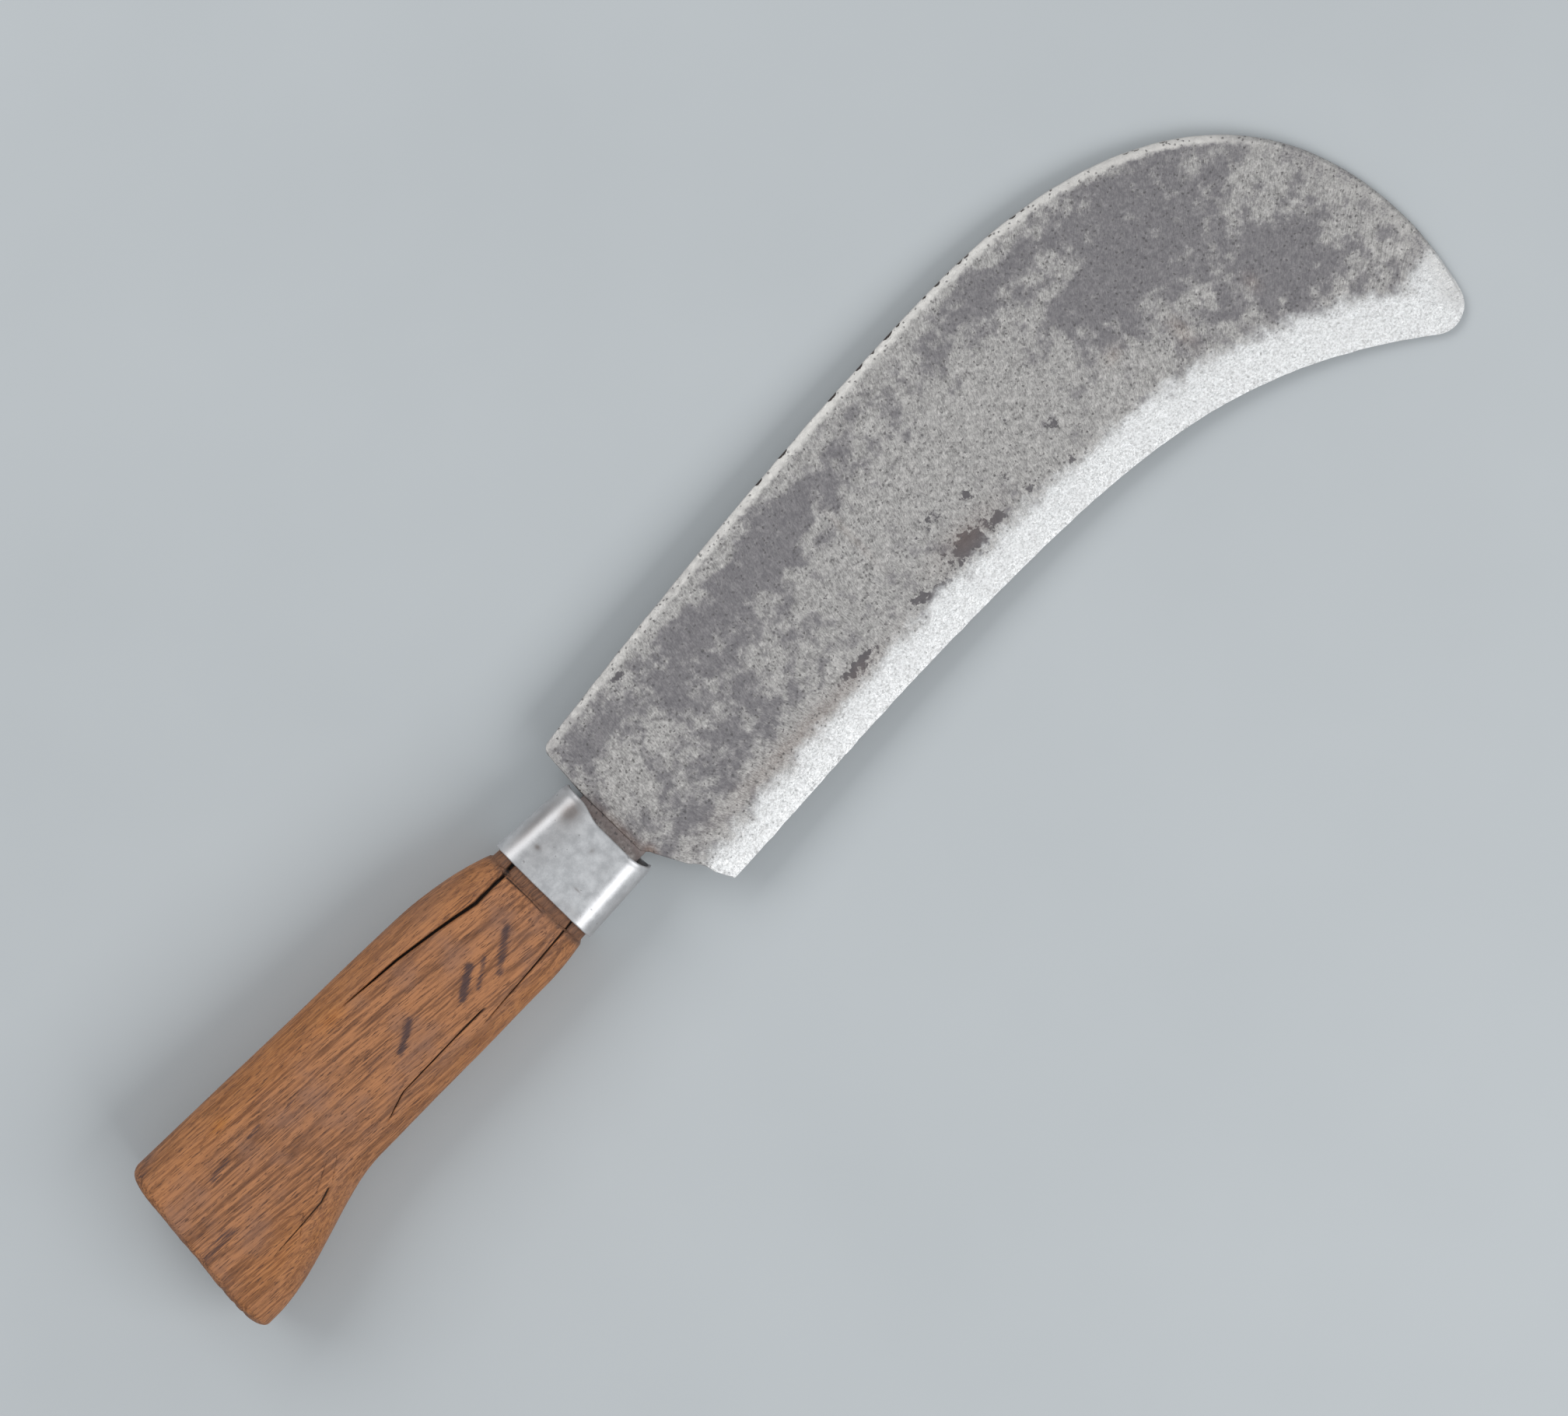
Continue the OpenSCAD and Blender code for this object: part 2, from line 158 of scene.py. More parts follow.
rise = Vector((math.cos(SPINE_RISE), math.sin(SPINE_RISE)))
tip_front = arc(TIP_CENTRE, TIP_R, -NOSE_TUCK, TIP_GAP - TIP_CLOSE)
tip_back = arc(TIP_CENTRE, TIP_R, -math.pi / 2 - TIP_ANGLE, -TIP_GAP - TIP_CLOSE)
tuck_pull = (NOSE - tip_front[0]).length / 3
spine_points = (
    curve(SPINE_HEEL, SPINE_HEEL + 0.051 * rise, SPINE_PEAK - Vector((0.048, 0)), SPINE_PEAK)
    + curve(SPINE_PEAK, SPINE_PEAK + Vector((0.063, 0)), NOSE + Vector((0, 0.052)), NOSE)
    + curve(
        NOSE,
        NOSE - Vector((0, tuck_pull)),
        tip_front[0] + tuck_pull * Vector((math.sin(NOSE_TUCK), math.cos(NOSE_TUCK))),
        tip_front[0],
    )
)
edge_fall = math.atan2(EDGE_ARCH.y - HEEL.y, EDGE_ARCH.x - HEEL.x)
edge_points = (
    curve(
        HEEL,
        HEEL + 0.033 * Vector((math.cos(edge_fall), math.sin(edge_fall))),
        EDGE_ARCH - Vector((0.040, 0)),
        EDGE_ARCH,
    )
    + curve(
        EDGE_ARCH,
        EDGE_ARCH + Vector((0.060, 0)),
        tip_back[0] + 0.056 * Vector((-math.cos(TIP_ANGLE), math.sin(TIP_ANGLE))),
        tip_back[0],
    )
)

corner_x = SHOULDER_X + REAR_LEAN + REAR_CORNER_R
corner = Vector((
    corner_x,
    SPINE_HEEL.y + corner_x * math.tan(SPINE_RISE) - REAR_CORNER_R / math.cos(SPINE_RISE),
))
corner_arc = arc(corner, REAR_CORNER_R, math.pi, math.pi / 2 + SPINE_RISE, 12)
neck_low = NECK_Y - NECK_W / 2
notch = Vector((SHOULDER_X + NOTCH_R, neck_low))
heel_dir = (HEEL - notch).normalized()
heel_out = Vector((heel_dir.y, -heel_dir.x))
scallop_half = math.sqrt(SCALLOP_R ** 2 - (SCALLOP_R - SCALLOP_D) ** 2)
heel_line = []
for i in range(61):
    point = HEEL.lerp(notch + 0.0014 * heel_dir, i / 60)
    reach = (point - notch).dot(heel_dir) - SCALLOP_RUN
    if abs(reach) < scallop_half:
        point = point - heel_out * (math.sqrt(SCALLOP_R ** 2 - reach ** 2) - SCALLOP_R + SCALLOP_D)
    heel_line.append(point)
rear_points = (
    heel_line
    + arc(notch - Vector((NOTCH_R / 2, NOTCH_R)), NOTCH_R, 0, math.radians(70), 6)
    + [Vector((SHOULDER_X, neck_low + NOTCH_R)), Vector((SHOULDER_X, -neck_low))]
    + corner_arc
)

FINE = 3000
spine_line = even([corner_arc[-1]] + [p for p in spine_points if p.x > corner_arc[-1].x + 0.0005], FINE)
spine_line = wander(spine_line, 0.00022, 0.009, 3.0)
edge_line = wander(even(edge_points, FINE), 0.00016, 0.0045, 8.0)
rear_line = even(rear_points, 400)
edge_side = even(edge_line + tip_back, FINE)
spine_side = even(spine_line + tip_front, FINE)


def nearest_on(points):
    """A search tree over the points of a line."""
    tree = KDTree(len(points))
    for i, p in enumerate(points):
        tree.insert((p.x, p.y, 0), i)
    tree.balance()
    return tree


edge_tree = nearest_on(even(edge_line + tip_back + tip_front[::-1], 4 * FINE))
spine_tree = nearest_on(even(spine_line, 4 * FINE))
rear_tree = nearest_on(even(rear_line, FINE))


def column_share(i):
    """Columns crowd at the heel, to round its rim, and are even beyond."""
    rim = (0, 0.0004, 0.001, 0.002)
    return rim[i] if i < len(rim) else blend(0.0042, 1, (i - len(rim)) / (BLADE_COLUMNS - len(rim)))


def row_share(j):
    """Rows crowd at the edge and at the spine."""
    t = j / BLADE_ROWS
    return t - 0.82 * math.sin(2 * math.pi * t) / (2 * math.pi)


def half_thickness(run, d_edge, d_spine, d_rear):
    """Half of the blade's thickness at distances from its edge, spine and rear."""
    bevel_w = blend(BEVEL_W, BEVEL_NOSE_W, run)
    chamfer_w = blend(CHAMFER_W, CHAMFER_NOSE_W, run)
    spine_t = blend(SPINE_T, NOSE_T, run)
    bevel_t = blend(BEVEL_TOP_T, BEVEL_NOSE_T, run)
    face = max(0.0, (d_edge - bevel_w) / max(0.001, d_edge + d_spine - chamfer_w - bevel_w))
    top = blend(bevel_t, spine_t, 1 - (1 - min(1.0, face)) ** 1.4) / 2
    if d_edge < bevel_w:
        top = blend(EDGE_T, bevel_t, 1 - (1 - d_edge / bevel_w) ** 1.55) / 2
    worn = max(0.0, 1 - d_spine / chamfer_w)
    top -= min(0.6 * top, blend(CHAMFER_D, CHAMFER_NOSE_D, run) * worn ** 1.25)
    rim = max(0.0, 1 - min(d_spine, d_rear) / RIM_R)
    return top - min(0.4 * top, RIM_R * (1 - math.sqrt(1 - rim * rim)))


# Where scale is left dark (above 0) and where wear has brightened the face (below 0), from a view
# square to the blade: place, reach along and across, and strength
PATINA = (
    (0.074, 0.021, 0.026, 0.008, 1.0), (0.016, 0.020, 0.016, 0.007, 0.6),
    (0.042, 0.012, 0.014, 0.014, 0.35), (0.101, 0.025, 0.016, 0.005, 0.5),
    (0.172, 0.029, 0.024, 0.005, 0.6), (0.213, 0.010, 0.020, 0.016, 0.8),
    (0.238, -0.024, 0.014, 0.016, 0.95), (0.196, 0.004, 0.014, 0.010, 0.5),
    (0.040, -0.006, 0.020, 0.010, 0.42), (0.022, -0.015, 0.012, 0.003, 0.6),
    (0.250, 0.012, 0.014, 0.012, 0.45), (0.225, 0.024, 0.018, 0.008, 0.4),
    (0.012, 0.003, 0.006, 0.009, -0.7), (0.112, 0.004, 0.026, 0.010, -0.55),
    (0.150, 0.003, 0.022, 0.014, -0.75), (0.060, -0.019, 0.034, 0.004, -0.8),
    (0.110, -0.017, 0.020, 0.005, -0.35), (0.186, -0.017, 0.018, 0.007, -0.45),
    (0.246, -0.004, 0.009, 0.009, -0.4), (0.045, 0.030, 0.030, 0.0024, -0.9),
    (0.073, 0.0295, 0.004, 0.0022, -1.0), (0.130, 0.037, 0.040, 0.003, -0.6),
)
# Crisp spots of thick scale
SCALE_SPOTS = (
    (0.078, -0.018, 0.008, 0.0026, 0.75), (0.103, -0.0165, 0.004, 0.0016, 0.7),
    (0.108, -0.019, 0.005, 0.0016, 0.85), (0.123, -0.016, 0.007, 0.0040, 1.0),
    (0.120, -0.004, 0.005, 0.0022, 0.5), (0.134, -0.0165, 0.003, 0.0022, 0.8),
    (0.146, -0.0175, 0.003, 0.0010, 0.7), (0.141, -0.010, 0.003, 0.0014, 0.6),
    (0.159, -0.020, 0.0014, 0.0012, 0.8), (0.162, -0.009, 0.0026, 0.0020, 0.6),
    (0.132, -0.006, 0.0024, 0.0030, 0.55), (0.030, 0.027, 0.004, 0.0014, 0.7),
    (0.268, -0.0565, 0.0008, 0.0022, 0.9), (0.2655, -0.061, 0.0012, 0.0010, 0.7),
)
# Brown tints: old rust at the neck, whose band along the ferrule's rim is also painted shade, the ground
# band behind the edge, and faint streaks
RUST_AND_RIM_SHADE_SPOTS = (
    (0.001, -0.004, 0.0016, 0.012, 0.7), (0.003, -0.013, 0.0014, 0.0024, 1.0),
    (0.055, -0.020, 0.030, 0.0030, 0.45), (0.205, -0.017, 0.0022, 0.005, 0.5),
    (0.187, -0.008, 0.003, 0.002, 0.4), (0.228, -0.021, 0.002, 0.003, 0.3),
    (0.124, -0.014, 0.012, 0.004, 0.35), (0.102, 0.008, 0.0008, 0.009, 0.3),
)
# Dark islands of scale left on the spine's outer corner: distance from the mouth, and length
SPINE_ISLANDS = (
    (0.095, 0.0030), (0.105, 0.0036), (0.1255, 0.0036), (0.1365, 0.0030), (0.142, 0.0016),
    (0.148, 0.0038), (0.152, 0.0016), (0.1625, 0.0012), (0.1675, 0.0024), (0.1715, 0.0010),
    (0.176, 0.0022), (0.1785, 0.0018), (0.187, 0.0014), (0.195, 0.0022), (0.198, 0.0016),
    (0.2075, 0.0012), (0.229, 0.0018), (0.2315, 0.0018), (0.238, 0.0018), (0.2415, 0.0010),
)


def spots_at(spots, x, y):
    """How strongly soft oval spots cover a place."""
    return sum(
        strength * math.exp(-((x - cx) / rx) ** 2 - ((y - cy) / ry) ** 2)
        for cx, cy, rx, ry, strength in spots
    )


blade_mesh = bmesh.new()
bmesh.ops.create_grid(blade_mesh, x_segments=BLADE_COLUMNS, y_segments=BLADE_ROWS, size=0.5)
BLADE_LAYERS = ("run", "from_edge", "from_spine", "patina", "scale", "rust", "island")
layers = {name: blade_mesh.verts.layers.float.new(name) for name in BLADE_LAYERS}
tip_line = [edge_side[-1], spine_side[-1]]
for vert in blade_mesh.verts:
    u = column_share(round((vert.co.x + 0.5) * BLADE_COLUMNS))
    v = row_share(round((vert.co.y + 0.5) * BLADE_ROWS))
    low, high = along(edge_side, u), along(spine_side, u)
    rear, front = along(rear_line, v), along(tip_line, v)
    between = low.lerp(high, v)
    corners = edge_side[0].lerp(edge_side[-1], u).lerp(spine_side[0].lerp(spine_side[-1], u), v)
    spot = between + rear.lerp(front, u) - corners
    d_edge, d_spine, d_rear = (
        (Vector(tree.find((spot.x, spot.y, 0))[0]).xy - spot).length
        for tree in (edge_tree, spine_tree, rear_tree)
    )
    vert[layers["run"]] = u * BLADE_L * 1000
    vert[layers["from_edge"]] = d_edge * 1000
    vert[layers["from_spine"]] = d_spine * 1000
    vert[layers["patina"]] = spots_at(PATINA, spot.x, spot.y)
    vert[layers["scale"]] = spots_at(SCALE_SPOTS, spot.x, spot.y)
    vert[layers["rust"]] = spots_at(RUST_AND_RIM_SHADE_SPOTS, spot.x, spot.y)
    vert[layers["island"]] = sum(
        math.exp(-((spot.x - x) / (l / 2)) ** 4 - (d_spine / 0.0007) ** 2) for x, l in SPINE_ISLANDS
    )
    vert.co = (spot.x, spot.y, half_thickness(u, d_edge, d_spine, d_rear))

rim_edges = [e for e in blade_mesh.edges if e.is_boundary]
upper = blade_mesh.verts[:] + blade_mesh.edges[:] + blade_mesh.faces[:]
under = bmesh.ops.duplicate(blade_mesh, geom=upper)
under_verts = [g for g in under["geom"] if isinstance(g, bmesh.types.BMVert)]
bmesh.ops.scale(blade_mesh, vec=(1, 1, -1), verts=under_verts)
wall = bmesh.ops.extrude_edge_only(blade_mesh, edges=rim_edges)
wall_verts = [g for g in wall["geom"] if isinstance(g, bmesh.types.BMVert)]
bmesh.ops.scale(blade_mesh, vec=(1, 1, -1), verts=wall_verts)
bmesh.ops.remove_doubles(blade_mesh, verts=blade_mesh.verts[:], dist=1e-7)
across = [
    e for e in blade_mesh.edges
    if e.verts[0].co.z * e.verts[1].co.z < 0 and e.calc_length() > 2 * EDGE_T
]
bmesh.ops.subdivide_edges(blade_mesh, edges=across, cuts=3, use_grid_fill=True)

# Old hammer marks leave both faces a little uneven, but not the ground edge
for vert in blade_mesh.verts:
    x, y, z = vert.co
    side = 1 if z > 0 else -1
    hold = ease(vert[layers["from_edge"]] / 12) * min(1.0, abs(z) / 0.001)
    broad = noise.noise(Vector((x / 0.016, y / 0.013, 7.0 * side)))
    narrow = noise.noise(Vector((x / 0.005, y / 0.004, 3.0 * side)))
    vert.co.z += side * hold * (0.00013 * broad + 0.00004 * narrow)
    vert.co.z -= side * 0.00015 * min(1.0, vert[layers["island"]]) * min(1.0, abs(z) / 0.001)


def bar_ring(mesh, verts, x, y, w, t):
    """Puts the four corners of a bar's end face at one place along it."""
    centre = sum((v.co for v in verts), Vector()) / len(verts)
    for v in verts:
        v.co = (x, y + w / 2 * (1 if v.co.y > centre.y else -1), t / 2 * (1 if v.co.z > centre.z else -1))


# The neck and the tang: a four-sided bar that tapers through the wood and rises a little to the butt
BUTT_ANGLE = math.radians(6)
TANG_END_RISE = 0.004
BUTT_X = 0.1618
BUTT_CENTRE = Vector((-BUTT_X + TANG_END_RISE * math.tan(BUTT_ANGLE), TANG_END_RISE, 0))
TANG_STATIONS = (
    (-0.0025, NECK_Y, NECK_W, NECK_T), (-0.013, NECK_Y, 0.019, NECK_T),
    (BUTT_CENTRE.x, TANG_END_RISE, 0.006, 0.004),
)
tang_face = bmesh.ops.create_grid(
    blade_mesh, x_segments=1, y_segments=1, size=0.001,
    matrix=Matrix.Rotation(math.pi / 2, 4, "Y"),
)
tang_start = tang_face["verts"]
bar_ring(blade_mesh, tang_start, SHOULDER_X + 0.004, NECK_Y, NECK_W, NECK_T)
tang_verts = list(tang_start)
end_face = tang_start[0].link_faces[0]
for x, y, w, t in TANG_STATIONS:
    made = bmesh.ops.extrude_face_region(
        blade_mesh, geom=[end_face], use_keep_orig=(x == TANG_STATIONS[0][0]),
    )
    ring = [g for g in made["geom"] if isinstance(g, bmesh.types.BMVert)]
    end_face = next(g for g in made["geom"] if isinstance(g, bmesh.types.BMFace))
    bar_ring(blade_mesh, ring, x, y, w, t)
    tang_verts += ring
tang_edges = {e for v in tang_verts for e in v.link_edges}
bmesh.ops.bevel(
    blade_mesh, geom=list(tang_edges), offset=0.0004, segments=2, profile=0.5,
    affect="EDGES", material=-1, clamp_overlap=True,
)
for vert in blade_mesh.verts:
    if vert.co.x < SHOULDER_X - 1e-6 or vert[layers["from_edge"]] == 0 and abs(vert.co.z) > EDGE_T:
        vert[layers["from_edge"]] = 30
        vert[layers["from_spine"]] = 30
        vert[layers["patina"]] = 0.5
        vert[layers["rust"]] = 0.6

# The peened head: the tang's end hammered over into a low uneven dome on the washer
PEEN_D = 0.009
PEEN_H = 0.0014
WASHER_SINK = 0.0004
on_butt = Matrix.Translation(BUTT_CENTRE) @ Matrix.Rotation(-BUTT_ANGLE, 4, "Z")
bmesh.ops.recalc_face_normals(blade_mesh, faces=blade_mesh.faces[:])
head = bmesh.ops.create_uvsphere(blade_mesh, u_segments=40, v_segments=24, radius=PEEN_D / 2)
for vert in head["verts"]:
    around = math.atan2(vert.co.y, vert.co.x)
    dent = 0.0002 * noise.noise(Vector((math.cos(around) * 2, math.sin(around) * 2, vert.co.z * 400)))
    vert.co.x += dent
    vert.co.y += dent
    height = max(0.0, vert.co.z) / (PEEN_D / 2) * PEEN_H
    vert.co = on_butt @ Vector((WASHER_SINK - height, vert.co.y, vert.co.x))
    for name in ("from_edge", "from_spine"):
        vert[layers[name]] = 30
    vert[layers["patina"]] = 0.4
    vert[layers["rust"]] = 0.5
bmesh.ops.translate(blade_mesh, vec=MOUTH, verts=blade_mesh.verts[:])


def finished(mesh, name, material, node):
    """Turns a mesh into the named piece that stands for a node."""
    for face in mesh.faces:
        face.smooth = True
    data = bpy.data.meshes.new(name)
    mesh.to_mesh(data)
    mesh.free()
    data.materials.append(material)
    piece = bpy.data.objects.new(name, data)
    bpy.context.scene.collection.objects.link(piece)
    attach(piece, "root")
    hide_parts(node)
    return piece


def add_node(tree, kind, inputs=(), **settings):
    """Adds a shader node. An input is a value, or an output that is linked to it."""
    made = tree.nodes.new("ShaderNode" + kind)
    for name, value in settings.items():
        setattr(made, name, value)
    for name, value in dict(inputs).items():
        if isinstance(value, bpy.types.NodeSocket):
            tree.links.new(value, made.inputs[name])
        else:
            made.inputs[name].default_value = value
    return made


def maths(tree, operation, a, b=0.0, clamp=False):
    return add_node(tree, "Math", {0: a, 1: b}, operation=operation, use_clamp=clamp).outputs[0]


def step_up(tree, value, start, end):
    """0 below start, 1 above end, and smooth between them."""
    made = add_node(
        tree, "MapRange", {"Value": value, "From Min": start, "From Max": end},
        interpolation_type="SMOOTHSTEP",
    )
    return made.outputs["Result"]


def mixed(tree, share, a, b):
    """Colour a where share is 0 and colour b where it is 1."""
    made = tree.nodes.new("ShaderNodeMix")
    made.data_type = "RGBA"
    for socket, value in zip((made.inputs[0], made.inputs[6], made.inputs[7]), (share, a, b)):
        if isinstance(value, bpy.types.NodeSocket):
            tree.links.new(value, socket)
        else:
            socket.default_value = value
    return made.outputs[2]


def noise_at(tree, where, scale, detail=4.0, rough=0.55, distortion=0.0):
    made = add_node(
        tree, "TexNoise",
        {"Vector": where, "Scale": scale, "Detail": detail, "Roughness": rough, "Distortion": distortion},
    )
    return made.outputs["Fac"]


def attribute(tree, name):
    return add_node(tree, "Attribute", attribute_name=name).outputs["Fac"]


def shade(red, green, blue):
    return (red, green, blue, 1.0)


def new_material(name):
    """An empty material with its shader, and its coordinates in millimetres from the ferrule's mouth."""
    material = bpy.data.materials.new(name)
    material.use_nodes = True
    tree = material.node_tree
    tree.nodes.clear()
    shader = add_node(tree, "BsdfPrincipled")
    output = add_node(tree, "OutputMaterial")
    tree.links.new(shader.outputs["BSDF"], output.inputs["Surface"])
    where = add_node(tree, "TexCoord").outputs["Object"]
    placed = add_node(
        tree, "Mapping",
        {"Vector": where, "Location": -1000 * MOUTH, "Scale": (1000, 1000, 1000)},
    )
    return material, tree, shader, placed.outputs["Vector"]


def new_group(name, inputs, outputs):
    """A shader node group with its inputs' names and values, and its outputs' names."""
    group = bpy.data.node_groups.new(name, "ShaderNodeTree")
    for label, value in inputs.items():
        kind = "NodeSocketVector" if value is None else "NodeSocketFloat"
        socket = group.interface.new_socket(label, in_out="INPUT", socket_type=kind)
        if value is not None:
            socket.default_value = value
    for label in outputs:
        group.interface.new_socket(label, in_out="OUTPUT", socket_type="NodeSocketFloat")
    return group, add_node_of(group, "NodeGroupInput"), add_node_of(group, "NodeGroupOutput")


def add_node_of(tree, kind):
    return tree.nodes.new(kind)


def placed_group(tree, group, inputs):
    """Places a node group in a material."""
    made = add_node(tree, "Group", node_tree=group)
    for name, value in inputs.items():
        if isinstance(value, bpy.types.NodeSocket):
            tree.links.new(value, made.inputs[name])
        else:
            made.inputs[name].default_value = value
    return made


# Pits: small round holes that rust has eaten, with a size, a spacing and a share of the cells used
pits_group, pits_in, pits_out = new_group(
    "rust_pits", {"Where": None, "Spacing": 2.0, "Size": 0.16, "Share": 0.5}, ("Mask", "Depth")
)
pit_where = add_node(pits_group, "VectorMath", {0: pits_in.outputs["Where"]}, operation="SCALE")
pits_per_mm = maths(pits_group, "DIVIDE", 1.0, pits_in.outputs["Spacing"])
pits_group.links.new(pits_per_mm, pit_where.inputs["Scale"])
pit_bend = add_node(pits_group, "TexNoise", {"Vector": pit_where.outputs[0], "Scale": 1.7, "Detail": 3.0})
pit_place = add_node(
    pits_group, "VectorMath", {0: pit_bend.outputs["Color"], 1: (0.9, 0.9, 0.9), 2: pit_where.outputs[0]},
    operation="MULTIPLY_ADD",
)
pit_cells = add_node(pits_group, "TexVoronoi", {"Vector": pit_place.outputs[0], "Scale": 1.0})
pit_used = add_node(pits_group, "SeparateColor", {"Color": pit_cells.outputs["Color"]}).outputs["Red"]
pit_here = maths(pits_group, "LESS_THAN", pit_used, pits_in.outputs["Share"])
pit_hole = maths(
    pits_group, "SUBTRACT", 1.0,
    maths(pits_group, "DIVIDE", pit_cells.outputs["Distance"], pits_in.outputs["Size"]), clamp=True,
)
pit_hole = maths(pits_group, "MULTIPLY", pit_hole, pit_here)
pits_group.links.new(step_up(pits_group, pit_hole, 0.0, 0.5), pits_out.inputs["Mask"])
pits_group.links.new(pit_hole, pits_out.inputs["Depth"])

# Blots: a ragged cover of patches, from a field that says where there are more of them
blots_group, blots_in, blots_out = new_group(
    "ragged_blots", {"Where": None, "Size": 5.0, "Field": 0.0, "Softness": 0.1, "Fineness": 5.0}, ("Mask",)
)
blot_where = add_node(blots_group, "VectorMath", {0: blots_in.outputs["Where"]}, operation="SCALE")
blots_per_mm = maths(blots_group, "DIVIDE", 1.0, blots_in.outputs["Size"])
blots_group.links.new(blots_per_mm, blot_where.inputs["Scale"])
blot_noise = add_node(
    blots_group, "TexNoise",
    {
        "Vector": blot_where.outputs[0], "Scale": 1.0,
        "Detail": blots_in.outputs["Fineness"], "Roughness": 0.62,
    },
)
blot_level = maths(blots_group, "ADD", blot_noise.outputs["Fac"], blots_in.outputs["Field"])
blot_low = maths(blots_group, "SUBTRACT", 0.5, blots_in.outputs["Softness"])
blot_high = maths(blots_group, "ADD", 0.5, blots_in.outputs["Softness"])
blots_group.links.new(step_up(blots_group, blot_level, blot_low, blot_high), blots_out.inputs["Mask"])

# The blade's steel: dark scale and brighter worn metal mixed by the patina field, short grinding
# streaks across the blade, pits, a polished band at the edge that is paler still as a painted
# highlight, and bright corners along the spine
blade_steel, tree, shader, where = new_material("blade_steel")
run, from_edge = attribute(tree, "run"), attribute(tree, "from_edge")
from_spine = attribute(tree, "from_spine")
patina, scale = attribute(tree, "patina"), attribute(tree, "scale")
rust, island = attribute(tree, "rust"), attribute(tree, "island")
height = add_node(tree, "SeparateXYZ", {"Vector": where}).outputs["Z"]
grind_along = maths(tree, "MULTIPLY", run, 3.2)
grind_across = maths(tree, "MULTIPLY", from_edge, 0.9)
grind_where = add_node(
    tree, "CombineXYZ", {"X": grind_along, "Y": grind_across, "Z": height}
).outputs["Vector"]
streaks = noise_at(tree, grind_where, 1.0, 3.0, 0.6)
clouds = noise_at(tree, where, 0.16, 6.0, 0.68)
grain = noise_at(tree, where, 1.6, 4.0, 0.7)
crust = noise_at(tree, where, 0.55, 9.0, 0.72, 0.6)
dark_field = maths(tree, "SUBTRACT", maths(tree, "MULTIPLY", patina, 0.27), 0.045)
dark_scale = placed_group(
    tree, blots_group,
    {"Where": where, "Size": 6.0, "Field": dark_field, "Softness": 0.10, "Fineness": 10.0},
).outputs["Mask"]
worn_tone = maths(tree, "ADD", maths(tree, "MULTIPLY", streaks, 0.40), maths(tree, "MULTIPLY", grain, 0.20))
worn_tone = maths(tree, "ADD", worn_tone, maths(tree, "MULTIPLY", crust, 0.50))
worn = mixed(
    tree, step_up(tree, worn_tone, 0.38, 0.74),
    shade(0.200, 0.192, 0.188), shade(0.63, 0.605, 0.585),
)
dark = mixed(
    tree, step_up(tree, worn_tone, 0.40, 0.85),
    shade(0.150, 0.142, 0.152), shade(0.36, 0.345, 0.345),
)
face = mixed(tree, dark_scale, worn, dark)
thick_field = maths(tree, "SUBTRACT", maths(tree, "MULTIPLY", scale, 0.44), 0.21)
thick_scale = placed_group(
    tree, blots_group,
    {"Where": where, "Size": 1.8, "Field": thick_field, "Softness": 0.035, "Fineness": 5.0},
).outputs["Mask"]
face = mixed(tree, thick_scale, face, shade(0.135, 0.126, 0.132))
# Rust tint; its band beside the ferrule's rim is partly painted shade
rust_and_rim_shade = maths(tree, "MULTIPLY", rust, maths(tree, "ADD", clouds, 0.2), clamp=True)
face = mixed(tree, maths(tree, "MULTIPLY", rust_and_rim_shade, 0.7), face, shade(0.20, 0.105, 0.062))
# The ground band along the edge: polished steel, with a painted highlight in its near-white colour
band_noise = maths(tree, "MULTIPLY", maths(tree, "SUBTRACT", clouds, 0.5), 14.0)
band_width = maths(tree, "ADD", maths(tree, "MULTIPLY", run, 0.02), 8.5)
band_place = maths(tree, "ADD", maths(tree, "SUBTRACT", band_width, from_edge), band_noise)
band = step_up(tree, band_place, -3.0, 3.5)
edge_polish_and_highlight_tone = mixed(tree, step_up(tree, grain, 0.32, 0.62), shade(0.56, 0.555, 0.55), shade(0.86, 0.86, 0.86))
face = mixed(tree, band, face, edge_polish_and_highlight_tone)
spine_noise = maths(tree, "MULTIPLY", maths(tree, "SUBTRACT", noise_at(tree, where, 0.5, 4.0), 0.5), 3.0)
spine_place = maths(tree, "ADD", maths(tree, "SUBTRACT", 2.3, from_spine), spine_noise)
bright_spine = maths(
    tree, "MULTIPLY", step_up(tree, spine_place, -0.9, 0.6),
    maths(tree, "SUBTRACT", 1.0, step_up(tree, run, 196.0, 214.0)),
)
kept = maths(tree, "ADD", maths(tree, "MULTIPLY", step_up(tree, run, 30.0, 75.0), 0.45), 0.45)
kept = maths(tree, "MULTIPLY", kept, maths(tree, "ADD", crust, 0.5))
bright_spine = maths(tree, "MULTIPLY", bright_spine, kept, clamp=True)
face = mixed(tree, bright_spine, face, shade(0.68, 0.655, 0.625))
nose_light = maths(
    tree, "MULTIPLY", maths(tree, "SUBTRACT", 1.0, step_up(tree, from_spine, 1.0, 9.0)),
    maths(tree, "MULTIPLY", step_up(tree, run, 190.0, 225.0), step_up(tree, grain, 0.35, 0.65)),
)
face = mixed(tree, maths(tree, "MULTIPLY", nose_light, 0.7), face, shade(0.50, 0.48, 0.46))
island_noise = maths(tree, "MULTIPLY", maths(tree, "SUBTRACT", grain, 0.5), 0.8)
island_mask = step_up(tree, maths(tree, "ADD", island, island_noise), 0.42, 0.52)
corner_height = maths(tree, "ADD", maths(tree, "ABSOLUTE", height), maths(tree, "MULTIPLY", clouds, 0.8))
island_mask = maths(tree, "MULTIPLY", island_mask, step_up(tree, corner_height, 1.5, 2.1))
face = mixed(tree, island_mask, face, shade(0.045, 0.035, 0.032))
